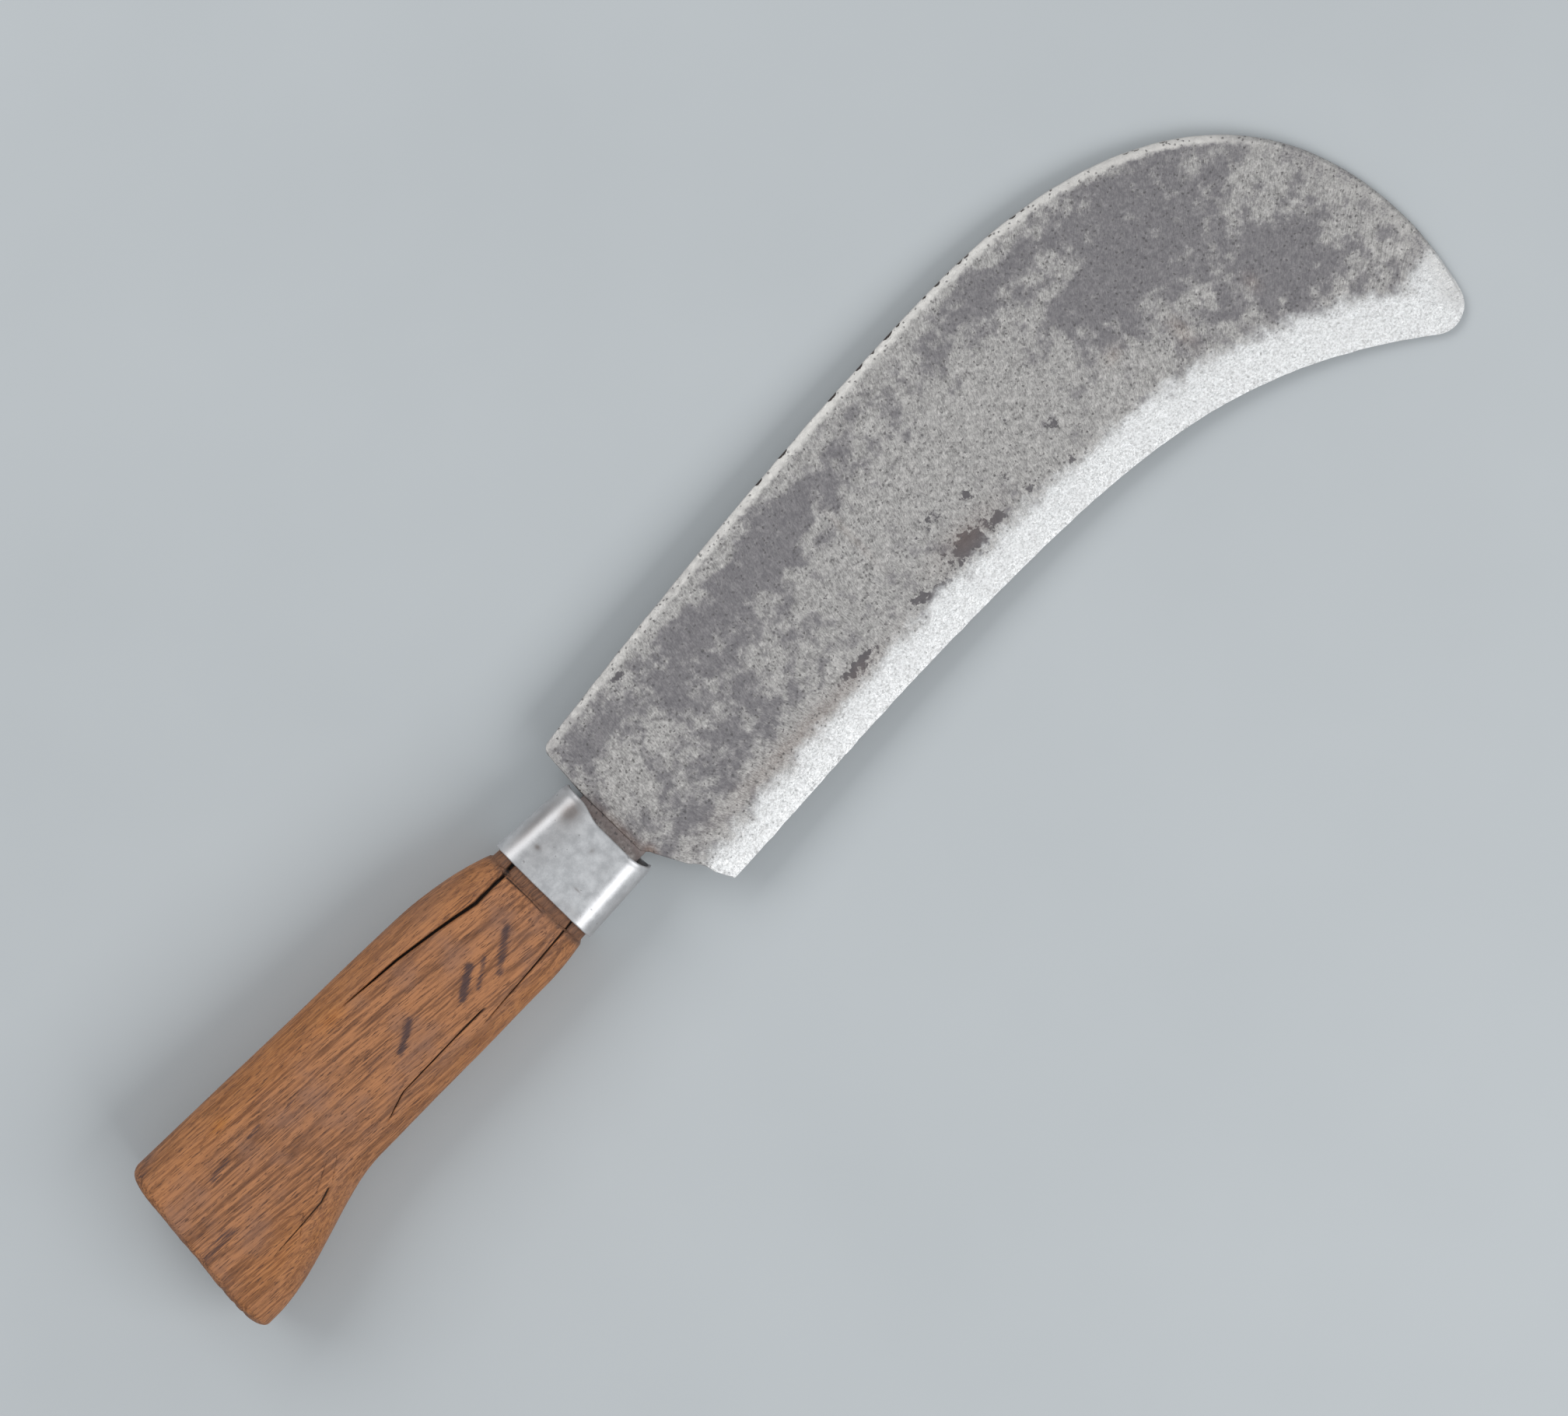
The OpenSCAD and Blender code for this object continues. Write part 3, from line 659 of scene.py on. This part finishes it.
pitting = placed_group(tree, pits_group, {"Where": where, "Spacing": 1.15, "Size": 0.38, "Share": 0.34})
off_band = maths(tree, "SUBTRACT", 1.0, maths(tree, "MULTIPLY", band, 0.8))
pit_cover = maths(tree, "MULTIPLY", pitting.outputs["Mask"], off_band)
face = mixed(tree, maths(tree, "MULTIPLY", pit_cover, 0.68), face, shade(0.10, 0.095, 0.095))
tree.links.new(face, shader.inputs["Base Color"])
rough = maths(tree, "ADD", maths(tree, "MULTIPLY", dark_scale, 0.12), 0.40)
rough = maths(tree, "SUBTRACT", rough, maths(tree, "MULTIPLY", band, 0.08))
tree.links.new(rough, shader.inputs["Roughness"])
metal = maths(tree, "SUBTRACT", 0.6, maths(tree, "MULTIPLY", dark_scale, 0.2))
tree.links.new(metal, shader.inputs["Metallic"])
relief = maths(tree, "ADD", maths(tree, "MULTIPLY", streaks, 0.3), maths(tree, "MULTIPLY", crust, 1.3))
relief = maths(tree, "SUBTRACT", relief, maths(tree, "MULTIPLY", pitting.outputs["Depth"], 0.8))
bump = add_node(tree, "Bump", {"Height": relief, "Distance": 0.00030, "Strength": 0.8})
tree.links.new(bump.outputs["Normal"], shader.inputs["Normal"])

finished(blade_mesh, "blade_forging", blade_steel, "blade")

# Ferrule. A tapered, rounded tube of sheet steel driven over the front of the wood. Its mouth is dressed
# back on the flats, most of all towards the edge side, and its satin surface has brown stains, with a
# broad painted shade over its upper flat.
FERRULE_L = 0.0254
FERRULE_MOUTH = Vector((0.0326, 0.0236))
FERRULE_REAR = Vector((0.0356, 0.026))
FERRULE_R = 0.007
FERRULE_WALL = 0.0012
MOUTH_ROLL = 0.00035
MOUTH_ROLL_RUN = 0.0016
REAR_RIM_R = 0.0003
MOUTH_DISH = 0.0012
DEEP_DISH = 0.0024
DEEP_DISH_START = 0.0106
DEEP_DISH_RUN = 0.009
FERRULE_AROUND = 200
# Brown stains: place, reach along and across, and strength. The broad faint spot over the upper flat is
# painted shade.
FERRULE_STAINS_AND_SHADE = (
    (-0.013, 0.0148, 0.013, 0.0016, 0.7), (-0.0045, 0.0100, 0.0034, 0.0024, 1.0),
    (-0.0176, 0.0097, 0.0007, 0.0009, 1.0), (-0.0183, -0.0060, 0.0003, 0.0012, 0.8),
    (-0.0080, -0.0015, 0.0008, 0.0006, 0.7), (-0.0120, 0.0090, 0.020, 0.0050, 0.30),
    (-0.0140, -0.0170, 0.020, 0.0016, 0.45), (-0.0235, -0.0100, 0.0012, 0.006, 0.25),
)


def rounded_ring(y_low, y_high, t, r, count):
    """A closed ring of a rounded bar's section, as points (y, z)."""
    corners = (
        (y_high - r, t / 2 - r), (y_low + r, t / 2 - r),
        (y_low + r, r - t / 2), (y_high - r, r - t / 2),
    )
    points = []
    for k, place in enumerate(corners):
        points += arc(Vector(place), r, k * math.pi / 2, (k + 1) * math.pi / 2, 10)
    return even(points + [points[0]], count)


def ferrule_ring(x, inset, count):
    share = -x / FERRULE_L
    size = FERRULE_MOUTH.lerp(FERRULE_REAR, share)
    middle = FERRULE_REAR_RISE * share
    half = size.x / 2 - inset
    return rounded_ring(middle - half, middle + half, size.y - 2 * inset, FERRULE_R - inset, count)


def skinned(rings):
    """A mesh over rings of points, merged where they meet."""
    mesh = bmesh.new()
    count = len(rings[0]) - 1
    bmesh.ops.create_grid(mesh, x_segments=len(rings) - 1, y_segments=count, size=0.5)
    for vert in mesh.verts:
        vert.co = rings[round((vert.co.x + 0.5) * (len(rings) - 1))][round((vert.co.y + 0.5) * count)]
    bmesh.ops.remove_doubles(mesh, verts=mesh.verts[:], dist=1e-7)
    bmesh.ops.recalc_face_normals(mesh, faces=mesh.faces[:])
    mesh.normal_update()
    return mesh


rim_r = (FERRULE_WALL - MOUTH_ROLL) / 2
ferrule_rear = -FERRULE_L + REAR_RIM_R
stations = []
for i in range(61):
    x = blend(ferrule_rear, -rim_r, i / 60)
    stations.append((x, MOUTH_ROLL * ease(1 + (x + rim_r) / MOUTH_ROLL_RUN)))
for k in range(1, 8):
    a = math.pi * k / 8
    stations.append((rim_r * (math.sin(a) - 1), MOUTH_ROLL + rim_r * (1 - math.cos(a))))
stations += [(blend(-rim_r, ferrule_rear, i / 12), FERRULE_WALL) for i in range(13)]
for k in range(1, 6):
    a = math.pi * k / 6
    stations.append((ferrule_rear - REAR_RIM_R * math.sin(a), FERRULE_WALL / 2 * (1 + math.cos(a))))
stations.append(stations[0])
ferrule_rings = []
for x, inset in stations:
    ring = []
    for y, z in ferrule_ring(x, inset, FERRULE_AROUND):
        deep = blend(0.0002, DEEP_DISH, ease((DEEP_DISH_START - y) / DEEP_DISH_RUN))
        back = (deep if z > 0 else MOUTH_DISH) * (2 * z / FERRULE_MOUTH.y) ** 2
        ring.append(Vector((x - back * (1 + x / FERRULE_L) ** 2, y, z)))
    ferrule_rings.append(ring)
ferrule_mesh = skinned(ferrule_rings)
stain_and_shade_layer = ferrule_mesh.verts.layers.float.new("stain_and_shade")
for vert in ferrule_mesh.verts:
    x, y, z = vert.co
    vert[stain_and_shade_layer] = spots_at(FERRULE_STAINS_AND_SHADE, x, y)
    vert.co += vert.normal * 0.00007 * noise.noise(Vector((x, y, z)) / 0.006)
bmesh.ops.translate(ferrule_mesh, vec=MOUTH, verts=ferrule_mesh.verts[:])

ferrule_steel, tree, shader, where = new_material("ferrule_steel")
stain_and_shade = attribute(tree, "stain_and_shade")
satin = noise_at(tree, where, 0.35, 5.0, 0.6)
fine = noise_at(tree, where, 3.0, 3.0, 0.7)
tone = maths(tree, "ADD", maths(tree, "MULTIPLY", satin, 0.7), maths(tree, "MULTIPLY", fine, 0.3))
face = mixed(tree, step_up(tree, tone, 0.35, 0.65), shade(0.50, 0.50, 0.51), shade(0.64, 0.64, 0.65))
# Brown stains, and painted shade over the upper flat
brown_stain_and_shade = maths(tree, "MULTIPLY", stain_and_shade, maths(tree, "ADD", satin, 0.45), clamp=True)
face = mixed(tree, maths(tree, "MULTIPLY", brown_stain_and_shade, 0.75), face, shade(0.17, 0.135, 0.12))
holes = placed_group(tree, pits_group, {"Where": where, "Spacing": 1.7, "Size": 0.2, "Share": 0.16})
face = mixed(tree, maths(tree, "MULTIPLY", holes.outputs["Mask"], 0.5), face, shade(0.13, 0.12, 0.12))
tree.links.new(face, shader.inputs["Base Color"])
shader.inputs["Metallic"].default_value = 0.65
tree.links.new(maths(tree, "ADD", maths(tree, "MULTIPLY", satin, 0.25), 0.27), shader.inputs["Roughness"])
relief = maths(tree, "SUBTRACT", maths(tree, "MULTIPLY", fine, 0.5), holes.outputs["Depth"])
bump = add_node(tree, "Bump", {"Height": relief, "Distance": 0.00005, "Strength": 0.6})
tree.links.new(bump.outputs["Normal"], shader.inputs["Normal"])
finished(ferrule_mesh, "ferrule_tube", ferrule_steel, "ferrule")

# Handle. One piece of hardwood, shaved to flat cheeks and rounded long edges and sawn off at the fishtail
# butt. It has shrunk and split from the ferrule back, and hands and weather have stained it. Its colour
# also carries painted highlights along the rounded long edges and painted shade behind the ferrule and
# at the butt.
GRIP_T = 0.027
GRIP_R = 0.010
CHEEK_T = GRIP_T + 0.0006
COLLAR_INSET = 0.0013
COLLAR_TOP = FERRULE_REAR.x / 2 + FERRULE_REAR_RISE - COLLAR_INSET
COLLAR_LOW = FERRULE_REAR.x / 2 - FERRULE_REAR_RISE - COLLAR_INSET
COLLAR_T = FERRULE_REAR.y - 2 * COLLAR_INSET
COLLAR_STEP = 0.0008
GRIP_FRONT = 0.0284
BACK_H, BACK_BUTT_H = 0.0226, 0.0272
BELLY_H, FISHTAIL_H = 0.0184, 0.029
FISHTAIL_L, FISHTAIL_LIP, FISHTAIL_ROUND = 0.049, 0.007, 0.008
BACK_SWELL, BELLY_SWELL = 0.030, 0.015
BUTT_R = 0.0035
TENON_FRONT = 0.0025
SEAT_R, SEAT_DEPTH = 0.0077, 0.0022
HANDLE_AROUND, HANDLE_ALONG = 250, 200
# Drying cracks and open grain: side of the handle, half width, depth, and the places they pass through
CRACKS = (
    (1, 0.00065, 0.0018, ((-0.0255, 0.0112), (-0.033, 0.0112), (-0.040, 0.0110), (-0.046, 0.0122),
                          (-0.053, 0.0135), (-0.066, 0.0155), (-0.074, 0.0162), (-0.087, 0.0175))),
    (1, 0.00030, 0.0010, ((-0.0255, -0.0110), (-0.030, -0.0115), (-0.045, -0.0125), (-0.062, -0.0135))),
    (1, 0.00028, 0.0009, ((-0.057, -0.0105), (-0.070, -0.0105), (-0.090, -0.0108), (-0.100, -0.0140))),
    (1, 0.00026, 0.0007, ((-0.122, -0.0145), (-0.127, -0.0160), (-0.137, -0.0165), (-0.147, -0.0170))),
    (1, 0.00022, 0.0003, ((-0.160, -0.0060), (-0.140, -0.0100), (-0.1325, -0.0145), (-0.140, -0.0200))),
    (1, 0.00022, 0.0003, ((-0.128, -0.0140), (-0.118, -0.0090), (-0.115, -0.0100), (-0.122, -0.0150))),
    (1, 0.00020, 0.0003, ((-0.160, 0.0120), (-0.106, 0.0095))),
    (1, 0.00020, 0.0003, ((-0.084, 0.0065), (-0.046, 0.0))),
    (1, 0.00025, 0.0006, ((-0.0292, 0.0100), (-0.0290, 0.0020), (-0.0294, -0.0050))),
    (-1, 0.00045, 0.0013, ((-0.0255, 0.0060), (-0.040, 0.0066), (-0.058, 0.0052), (-0.076, 0.0060))),
    (-1, 0.00028, 0.0008, ((-0.161, -0.0080), (-0.148, -0.0094), (-0.128, -0.0088))),
)
# Dark smears burnt or rubbed across the grain: ends, half width and strength
SMEARS = (
    (((-0.083, -0.0026), (-0.0755, 0.0012)), 0.0013, 0.9),
    (((-0.061, -0.0045), (-0.0535, 0.0002)), 0.0014, 1.0),
    (((-0.056, -0.0056), (-0.049, -0.0010)), 0.0009, 0.7),
    (((-0.049, -0.0068), (-0.0385, 0.0008)), 0.0014, 0.8),
    (((-0.160, -0.0040), (-0.150, -0.0034)), 0.0020, 0.6),
    (((-0.143, 0.0095), (-0.137, 0.0105)), 0.0014, 0.55),
    (((-0.128, 0.0105), (-0.124, 0.0110)), 0.0009, 0.6),
    (((-0.118, 0.0080), (-0.113, 0.0090)), 0.0008, 0.4),
    (((-0.092, 0.0), (-0.088, 0.0008)), 0.0010, 0.4),
    (((-0.157, 0.0240), (-0.152, 0.0262)), 0.0020, 0.5),
)
# Painted highlights: a golden sheen along the rounded long edges where light falls on them: place, reach
# along and across, and strength
EDGE_SHEEN_SPOTS = (
    (-0.110, 0.021, 0.050, 0.006, 0.8),
    (-0.040, 0.016, 0.014, 0.005, 0.5),
    (-0.140, -0.020, 0.024, 0.008, 0.7),
    (-0.060, -0.017, 0.040, 0.004, 0.6),
    (-0.1315, 0.0185, 0.003, 0.0016, 1.0),
    (-0.090, 0.017, 0.004, 0.002, 0.8),
)


def swell(x, run):
    return max(0.0, 1 - (x - GRIP_FRONT) / run) ** 2


def grip_limits(x):
    """Back and belly heights and the cheeks' thickness at a distance behind the mouth."""
    back = blend(BACK_H, BACK_BUTT_H, (x - GRIP_FRONT) / (BUTT_X - GRIP_FRONT))
    back -= (BACK_H - COLLAR_TOP - COLLAR_STEP) * swell(x, BACK_SWELL)
    out = ease((x - BUTT_X + FISHTAIL_LIP + FISHTAIL_L) / FISHTAIL_L)
    belly = -blend(BELLY_H, FISHTAIL_H, out) + (BELLY_H - COLLAR_LOW - COLLAR_STEP) * swell(x, BELLY_SWELL)
    return back, belly, CHEEK_T - (CHEEK_T - COLLAR_T - 2 * COLLAR_STEP) * swell(x, BELLY_SWELL)


def off_path(path, x, y):
    """Distance from a path, and the share of it that is passed at the nearest place."""
    best, share = 1.0, 0.0
    for k, ((ax, ay), (bx, by)) in enumerate(zip(path, path[1:])):
        dx, dy = bx - ax, by - ay
        t = min(1.0, max(0.0, ((x - ax) * dx + (y - ay) * dy) / (dx * dx + dy * dy)))
        gap = math.hypot(x - ax - t * dx, y - ay - t * dy)
        if gap < best:
            best, share = gap, (k + t) / (len(path) - 1)
    return best, share


def ring_at(x, points, lean=0.0):
    """A ring set at a distance behind the mouth, leaning over to the butt, with planed cheeks."""
    return [Vector((-x + lean * y, y, max(-GRIP_T / 2, min(GRIP_T / 2, z)))) for y, z in points]


butt_lean = math.tan(BUTT_ANGLE)
rim_start = BUTT_X - BUTT_R
tenon_rings = [
    ring_at(x, ferrule_ring(-x, COLLAR_INSET, HANDLE_AROUND))
    for x in [blend(TENON_FRONT, GRIP_FRONT - 0.0004, i / 24) for i in range(25)]
]
body_rings = []
for i in range(HANDLE_ALONG + 1):
    share = i / HANDLE_ALONG
    x = blend(GRIP_FRONT + 0.0004, rim_start, share)
    back, belly, thick = grip_limits(x)
    ring = rounded_ring(belly, back, thick, GRIP_R, HANDLE_AROUND)
    body_rings.append(ring_at(x, ring, butt_lean * ease(share)))
back, belly, thick = grip_limits(rim_start)
for k in range(1, 9):
    a = math.pi / 2 * k / 8
    inset = BUTT_R * (1 - math.cos(a))
    ring = rounded_ring(
        belly + FISHTAIL_ROUND * (1 - math.cos(a)), back - inset,
        CHEEK_T - 2 * inset, GRIP_R - inset, HANDLE_AROUND,
    )
    body_rings.append(ring_at(rim_start + BUTT_R * math.sin(a), ring, butt_lean))
into_wood = Vector((math.cos(BUTT_ANGLE), -math.sin(BUTT_ANGLE), 0))
butt_rim = body_rings[-1]
seat_rim = [BUTT_CENTRE + (p - BUTT_CENTRE).normalized() * SEAT_R for p in butt_rim]
seat_foot = [p + into_wood * SEAT_DEPTH for p in seat_rim]
seat_middle = BUTT_CENTRE + into_wood * SEAT_DEPTH
tenon_middle = Vector((-TENON_FRONT, 0, 0))
front_rings = [[tenon_middle.lerp(p, s) for p in tenon_rings[0]] for s in (0, 0.5)]
butt_rings = [[a.lerp(b, s) for a, b in zip(butt_rim, seat_rim)] for s in (0.2, 0.45, 0.7, 0.9, 1)]
seat_rings = [seat_foot, [seat_middle] * len(seat_foot)]
handle_mesh = skinned(front_rings + tenon_rings + body_rings + butt_rings + seat_rings)


def crack_at(x, y, z):
    """How deep and how dark the cracks are at a place on the wood."""
    depth, dark = 0.0, 0.0
    for side, half, deep, path in CRACKS:
        if side * z > 0.004:
            gap, share = off_path(path, x, y)
            if gap < 4 * half:
                half_here = half * (1.1 - 0.75 * share)
                ends = ease((1 - share) * 6 + 0.2) * (ease(share * 9 + 0.1) if path[0][0] < -0.03 else 1)
                here = math.exp(-(gap / half_here) ** 2) * ends
                depth, dark = max(depth, deep * here), max(dark, here * min(1.0, deep / 0.0008))
    return depth, dark


split_edges = []
for edge in handle_mesh.edges:
    x, y, z = (edge.verts[0].co + edge.verts[1].co) / 2
    for side, half, deep, path in CRACKS:
        if side * z > 0.006 and x < -0.024 and off_path(path, x, y)[0] < 0.0004 + 2 * half:
            split_edges.append(edge)
            break
bmesh.ops.subdivide_edges(handle_mesh, edges=split_edges, cuts=2, use_grid_fill=True)
handle_mesh.normal_update()
wood_layers = {name: handle_mesh.verts.layers.float.new(name) for name in ("crack", "smear", "edge_sheen")}
moves = []
for vert in handle_mesh.verts:
    x, y, z = vert.co
    depth, dark = crack_at(x, y, z)
    vert[wood_layers["crack"]] = dark
    vert[wood_layers["edge_sheen"]] = spots_at(EDGE_SHEEN_SPOTS, x, y)
    vert[wood_layers["smear"]] = sum(
        strength * math.exp(-(off_path(path, x, y)[0] / half) ** 2) for path, half, strength in SMEARS
    ) if z > 0 else 0.3 * max(0.0, noise.noise(Vector((x / 0.02, y / 0.006, 5.0))))
    uneven = 0.00022 * noise.noise(Vector((x / 0.022, y / 0.010, z / 0.010)))
    uneven += 0.00005 * noise.noise(Vector((x / 0.012, y / 0.0012, z / 0.0012)))
    near_butt = ease((-x - BUTT_X + 0.001) / 0.003)
    chip = max(0.0, noise.noise(Vector((7.0, y / 0.0025, z / 0.004)))) * 0.0009 * near_butt
    if x > -GRIP_FRONT:
        uneven = min(0.0, uneven) * 0.3
    moves.append((vert, vert.normal * (uneven - chip - 0.00015 - depth)))
for vert, move in moves:
    vert.co += move
bmesh.ops.translate(handle_mesh, vec=MOUTH, verts=handle_mesh.verts[:])

handle_wood, tree, shader, where = new_material("handle_wood")
crack, smear, edge_sheen = attribute(tree, "crack"), attribute(tree, "smear"), attribute(tree, "edge_sheen")
tilted = add_node(tree, "Mapping", {"Vector": where, "Rotation": (0.0, 0.0, 0.09)}).outputs["Vector"]
fibres = add_node(tree, "Mapping", {"Vector": tilted, "Scale": (0.13, 1.9, 1.9)}).outputs["Vector"]
grain = noise_at(tree, fibres, 1.0, 6.0, 0.68, 0.25)
rings = add_node(
    tree, "Mapping", {"Vector": tilted, "Scale": (0.006, 0.16, 0.16), "Location": (0.0, 1.6, 1.2)}
).outputs["Vector"]
cathedral = noise_at(tree, rings, 1.6, 2.0, 0.4, 1.2)
bands = maths(tree, "PINGPONG", maths(tree, "MULTIPLY", cathedral, 9.0), 1.0)
fine_fibres = add_node(tree, "Mapping", {"Vector": tilted, "Scale": (0.30, 3.4, 3.4)}).outputs["Vector"]
flecks = noise_at(tree, fine_fibres, 1.0, 3.0, 0.6)
clouds = noise_at(tree, where, 0.07, 4.0, 0.6)
wood_tone = maths(tree, "ADD", maths(tree, "MULTIPLY", grain, 0.75), maths(tree, "MULTIPLY", bands, 0.25))
face = mixed(
    tree, step_up(tree, wood_tone, 0.32, 0.66),
    shade(0.160, 0.064, 0.027), shade(0.44, 0.190, 0.080),
)
greyed = maths(tree, "MULTIPLY", step_up(tree, clouds, 0.45, 0.70), 0.55)
face = mixed(tree, greyed, face, shade(0.27, 0.140, 0.092))
# Painted highlight: golden sheen along the rounded long edges
sheen_golden = mixed(tree, step_up(tree, grain, 0.35, 0.70), shade(0.27, 0.088, 0.018), shade(0.52, 0.215, 0.055))
edge_sheen_cover = maths(tree, "MULTIPLY", edge_sheen, maths(tree, "ADD", clouds, 0.25), clamp=True)
face = mixed(tree, edge_sheen_cover, face, sheen_golden)
flecked = maths(tree, "MULTIPLY", step_up(tree, flecks, 0.55, 0.66), 0.80)
face = mixed(tree, flecked, face, shade(0.095, 0.042, 0.026))
smear_field = maths(tree, "SUBTRACT", maths(tree, "MULTIPLY", smear, 0.40), 0.21)
smeared = placed_group(
    tree, blots_group,
    {"Where": fibres, "Size": 0.9, "Field": smear_field, "Softness": 0.15, "Fineness": 5.0},
).outputs["Mask"]
face = mixed(tree, maths(tree, "MULTIPLY", smeared, 0.88), face, shade(0.045, 0.026, 0.030))
distance = add_node(tree, "SeparateXYZ", {"Vector": where}).outputs["X"]
# Painted shade on the wood where it meets the ferrule's rear rim
collar_painted_shade = maths(tree, "MULTIPLY", step_up(tree, distance, -30.5, -28.5), 0.62)
face = mixed(tree, collar_painted_shade, face, shade(0.082, 0.046, 0.034))
# Painted shade over the butt's rounded rim and end face
before_butt = step_up(tree, distance, -165.0, -161.5)
butt_painted_shade = maths(tree, "MULTIPLY", maths(tree, "SUBTRACT", 1.0, before_butt), 0.5)
face = mixed(tree, butt_painted_shade, face, shade(0.12, 0.060, 0.036))
face = mixed(tree, step_up(tree, crack, 0.15, 0.75), face, shade(0.022, 0.013, 0.010))
tree.links.new(face, shader.inputs["Base Color"])
tree.links.new(maths(tree, "ADD", maths(tree, "MULTIPLY", grain, 0.2), 0.48), shader.inputs["Roughness"])
shader.inputs["Specular IOR Level"].default_value = 0.35
relief = maths(tree, "SUBTRACT", grain, maths(tree, "MULTIPLY", step_up(tree, flecks, 0.59, 0.69), 0.5))
bump = add_node(tree, "Bump", {"Height": relief, "Distance": 0.00018, "Strength": 0.7})
tree.links.new(bump.outputs["Normal"], shader.inputs["Normal"])
finished(handle_mesh, "handle_fishtail", handle_wood, "handle")

# Tang washer. A small disc of wrought iron let into the butt, which the tang's end is hammered over. It
# is black with old oxide and a little out of round.
WASHER_R, WASHER_T = 0.0075, 0.0018
washer_mesh = bmesh.new()
bmesh.ops.create_cone(
    washer_mesh, cap_ends=True, segments=72, radius1=WASHER_R, radius2=WASHER_R, depth=WASHER_T,
)
rims = [e for e in washer_mesh.edges if abs(e.verts[0].co.z - e.verts[1].co.z) < 1e-6]
bmesh.ops.bevel(
    washer_mesh, geom=rims, offset=0.0004, segments=3, profile=0.5, affect="EDGES",
    material=-1, clamp_overlap=True,
)
for vert in washer_mesh.verts:
    turn = math.atan2(vert.co.y, vert.co.x)
    out = 1 - 0.012 * (1 + noise.noise(Vector((math.cos(turn) * 1.7, math.sin(turn) * 1.7, 2.0))))
    depth = WASHER_SINK + WASHER_T / 2 + vert.co.z
    vert.co = on_butt @ Vector((depth, vert.co.x * out, vert.co.y * out)) + MOUTH
washer_iron, tree, shader, where = new_material("washer_iron")
oxide = noise_at(tree, where, 0.9, 5.0, 0.65)
face = mixed(tree, step_up(tree, oxide, 0.35, 0.65), shade(0.060, 0.050, 0.046), shade(0.165, 0.135, 0.120))
face = mixed(tree, step_up(tree, oxide, 0.60, 0.72), face, shade(0.20, 0.085, 0.040))
tree.links.new(face, shader.inputs["Base Color"])
shader.inputs["Metallic"].default_value = 0.4
shader.inputs["Roughness"].default_value = 0.55
bump = add_node(tree, "Bump", {"Height": oxide, "Distance": 0.0002, "Strength": 0.8})
tree.links.new(bump.outputs["Normal"], shader.inputs["Normal"])
finished(washer_mesh, "tang_washer_disc", washer_iron, "tang_washer")

# The table that the tool lies on, tipped as the tool rests on its blade's tip, and soft light from
# both sides of the blade
TIP_TILT = math.radians(2.3)
FLOOR_HALF = 4.0
floor_mesh = bmesh.new()
bmesh.ops.create_grid(floor_mesh, x_segments=1, y_segments=1, size=FLOOR_HALF)
floor_data = bpy.data.meshes.new("table")
floor_mesh.to_mesh(floor_data)
floor_mesh.free()
floor = bpy.data.objects.new("table", floor_data)
bpy.context.scene.collection.objects.link(floor)
pivot_x = ferrule_low.x - 0.006
to_pivot = Matrix.Translation((pivot_x, 0, 0))
floor.matrix_world = to_pivot @ Matrix.Rotation(-TIP_TILT, 4, "Y") @ to_pivot.inverted()
table_top, tree, shader, where = new_material("table_top")
FLOOR_COLOUR = shade(0.49, 0.52, 0.535)
speckle = noise_at(tree, where, 0.01, 3.0)
face = mixed(tree, speckle, shade(0.47, 0.50, 0.515), shade(0.52, 0.55, 0.565))
tree.links.new(face, shader.inputs["Base Color"])
shader.inputs["Roughness"].default_value = 0.6
shader.inputs["Specular IOR Level"].default_value = 0.2
floor_data.materials.append(table_top)

world = bpy.data.worlds.new("studio")
bpy.context.scene.world = world
world.use_nodes = True
tree = world.node_tree
tree.nodes.clear()
path = add_node(tree, "LightPath")
seen = maths(tree, "ADD", path.outputs["Is Camera Ray"], path.outputs["Is Transmission Ray"])
seen = maths(tree, "ADD", seen, path.outputs["Is Glossy Ray"], clamp=True)
light = add_node(tree, "Background", {"Color": shade(0.93, 0.96, 1.0), "Strength": 0.44})
backdrop = add_node(tree, "Background", {"Color": FLOOR_COLOUR, "Strength": 1.0})
chosen = add_node(tree, "MixShader", {0: seen, 1: light.outputs[0], 2: backdrop.outputs[0]})
output = add_node(tree, "OutputWorld", {"Surface": chosen.outputs[0]})


def softbox(name, place, aim, size, power):
    lamp = bpy.data.lights.new(name, "AREA")
    lamp.shape = "RECTANGLE"
    lamp.size, lamp.size_y = size
    lamp.energy = power
    made = bpy.data.objects.new(name, lamp)
    made.location = place
    made.rotation_mode = "QUATERNION"
    made.rotation_quaternion = (Vector(aim) - Vector(place)).to_track_quat("-Z", "Y")
    bpy.context.scene.collection.objects.link(made)


softbox("edge_side_box", (0.1, -0.95, 0.95), (0, 0, 0), (1.3, 0.8), 10.5)
softbox("spine_side_box", (-0.1, 0.95, 0.95), (0, 0, 0), (1.3, 0.8), 7.5)

# Camera square to the blade's face, turned so that the tool lies from lower left to upper right
TOOL_TURN = math.radians(45.5)
VIEW_MIDDLE = Vector((0.003, 0.0031))
VIEW_WIDTH = 0.4274
CAMERA_HEIGHT = 1.6
camera_data = bpy.data.cameras.new("camera")
camera_data.sensor_width = 36
camera_data.lens = 36 * CAMERA_HEIGHT / VIEW_WIDTH
camera = bpy.data.objects.new("camera", camera_data)
camera.location = (VIEW_MIDDLE.x, VIEW_MIDDLE.y, MOUTH.z + CAMERA_HEIGHT)
camera.rotation_euler = (0, 0, -TOOL_TURN)
bpy.context.scene.collection.objects.link(camera)
bpy.context.scene.camera = camera
bpy.context.scene.view_settings.view_transform = "Standard"
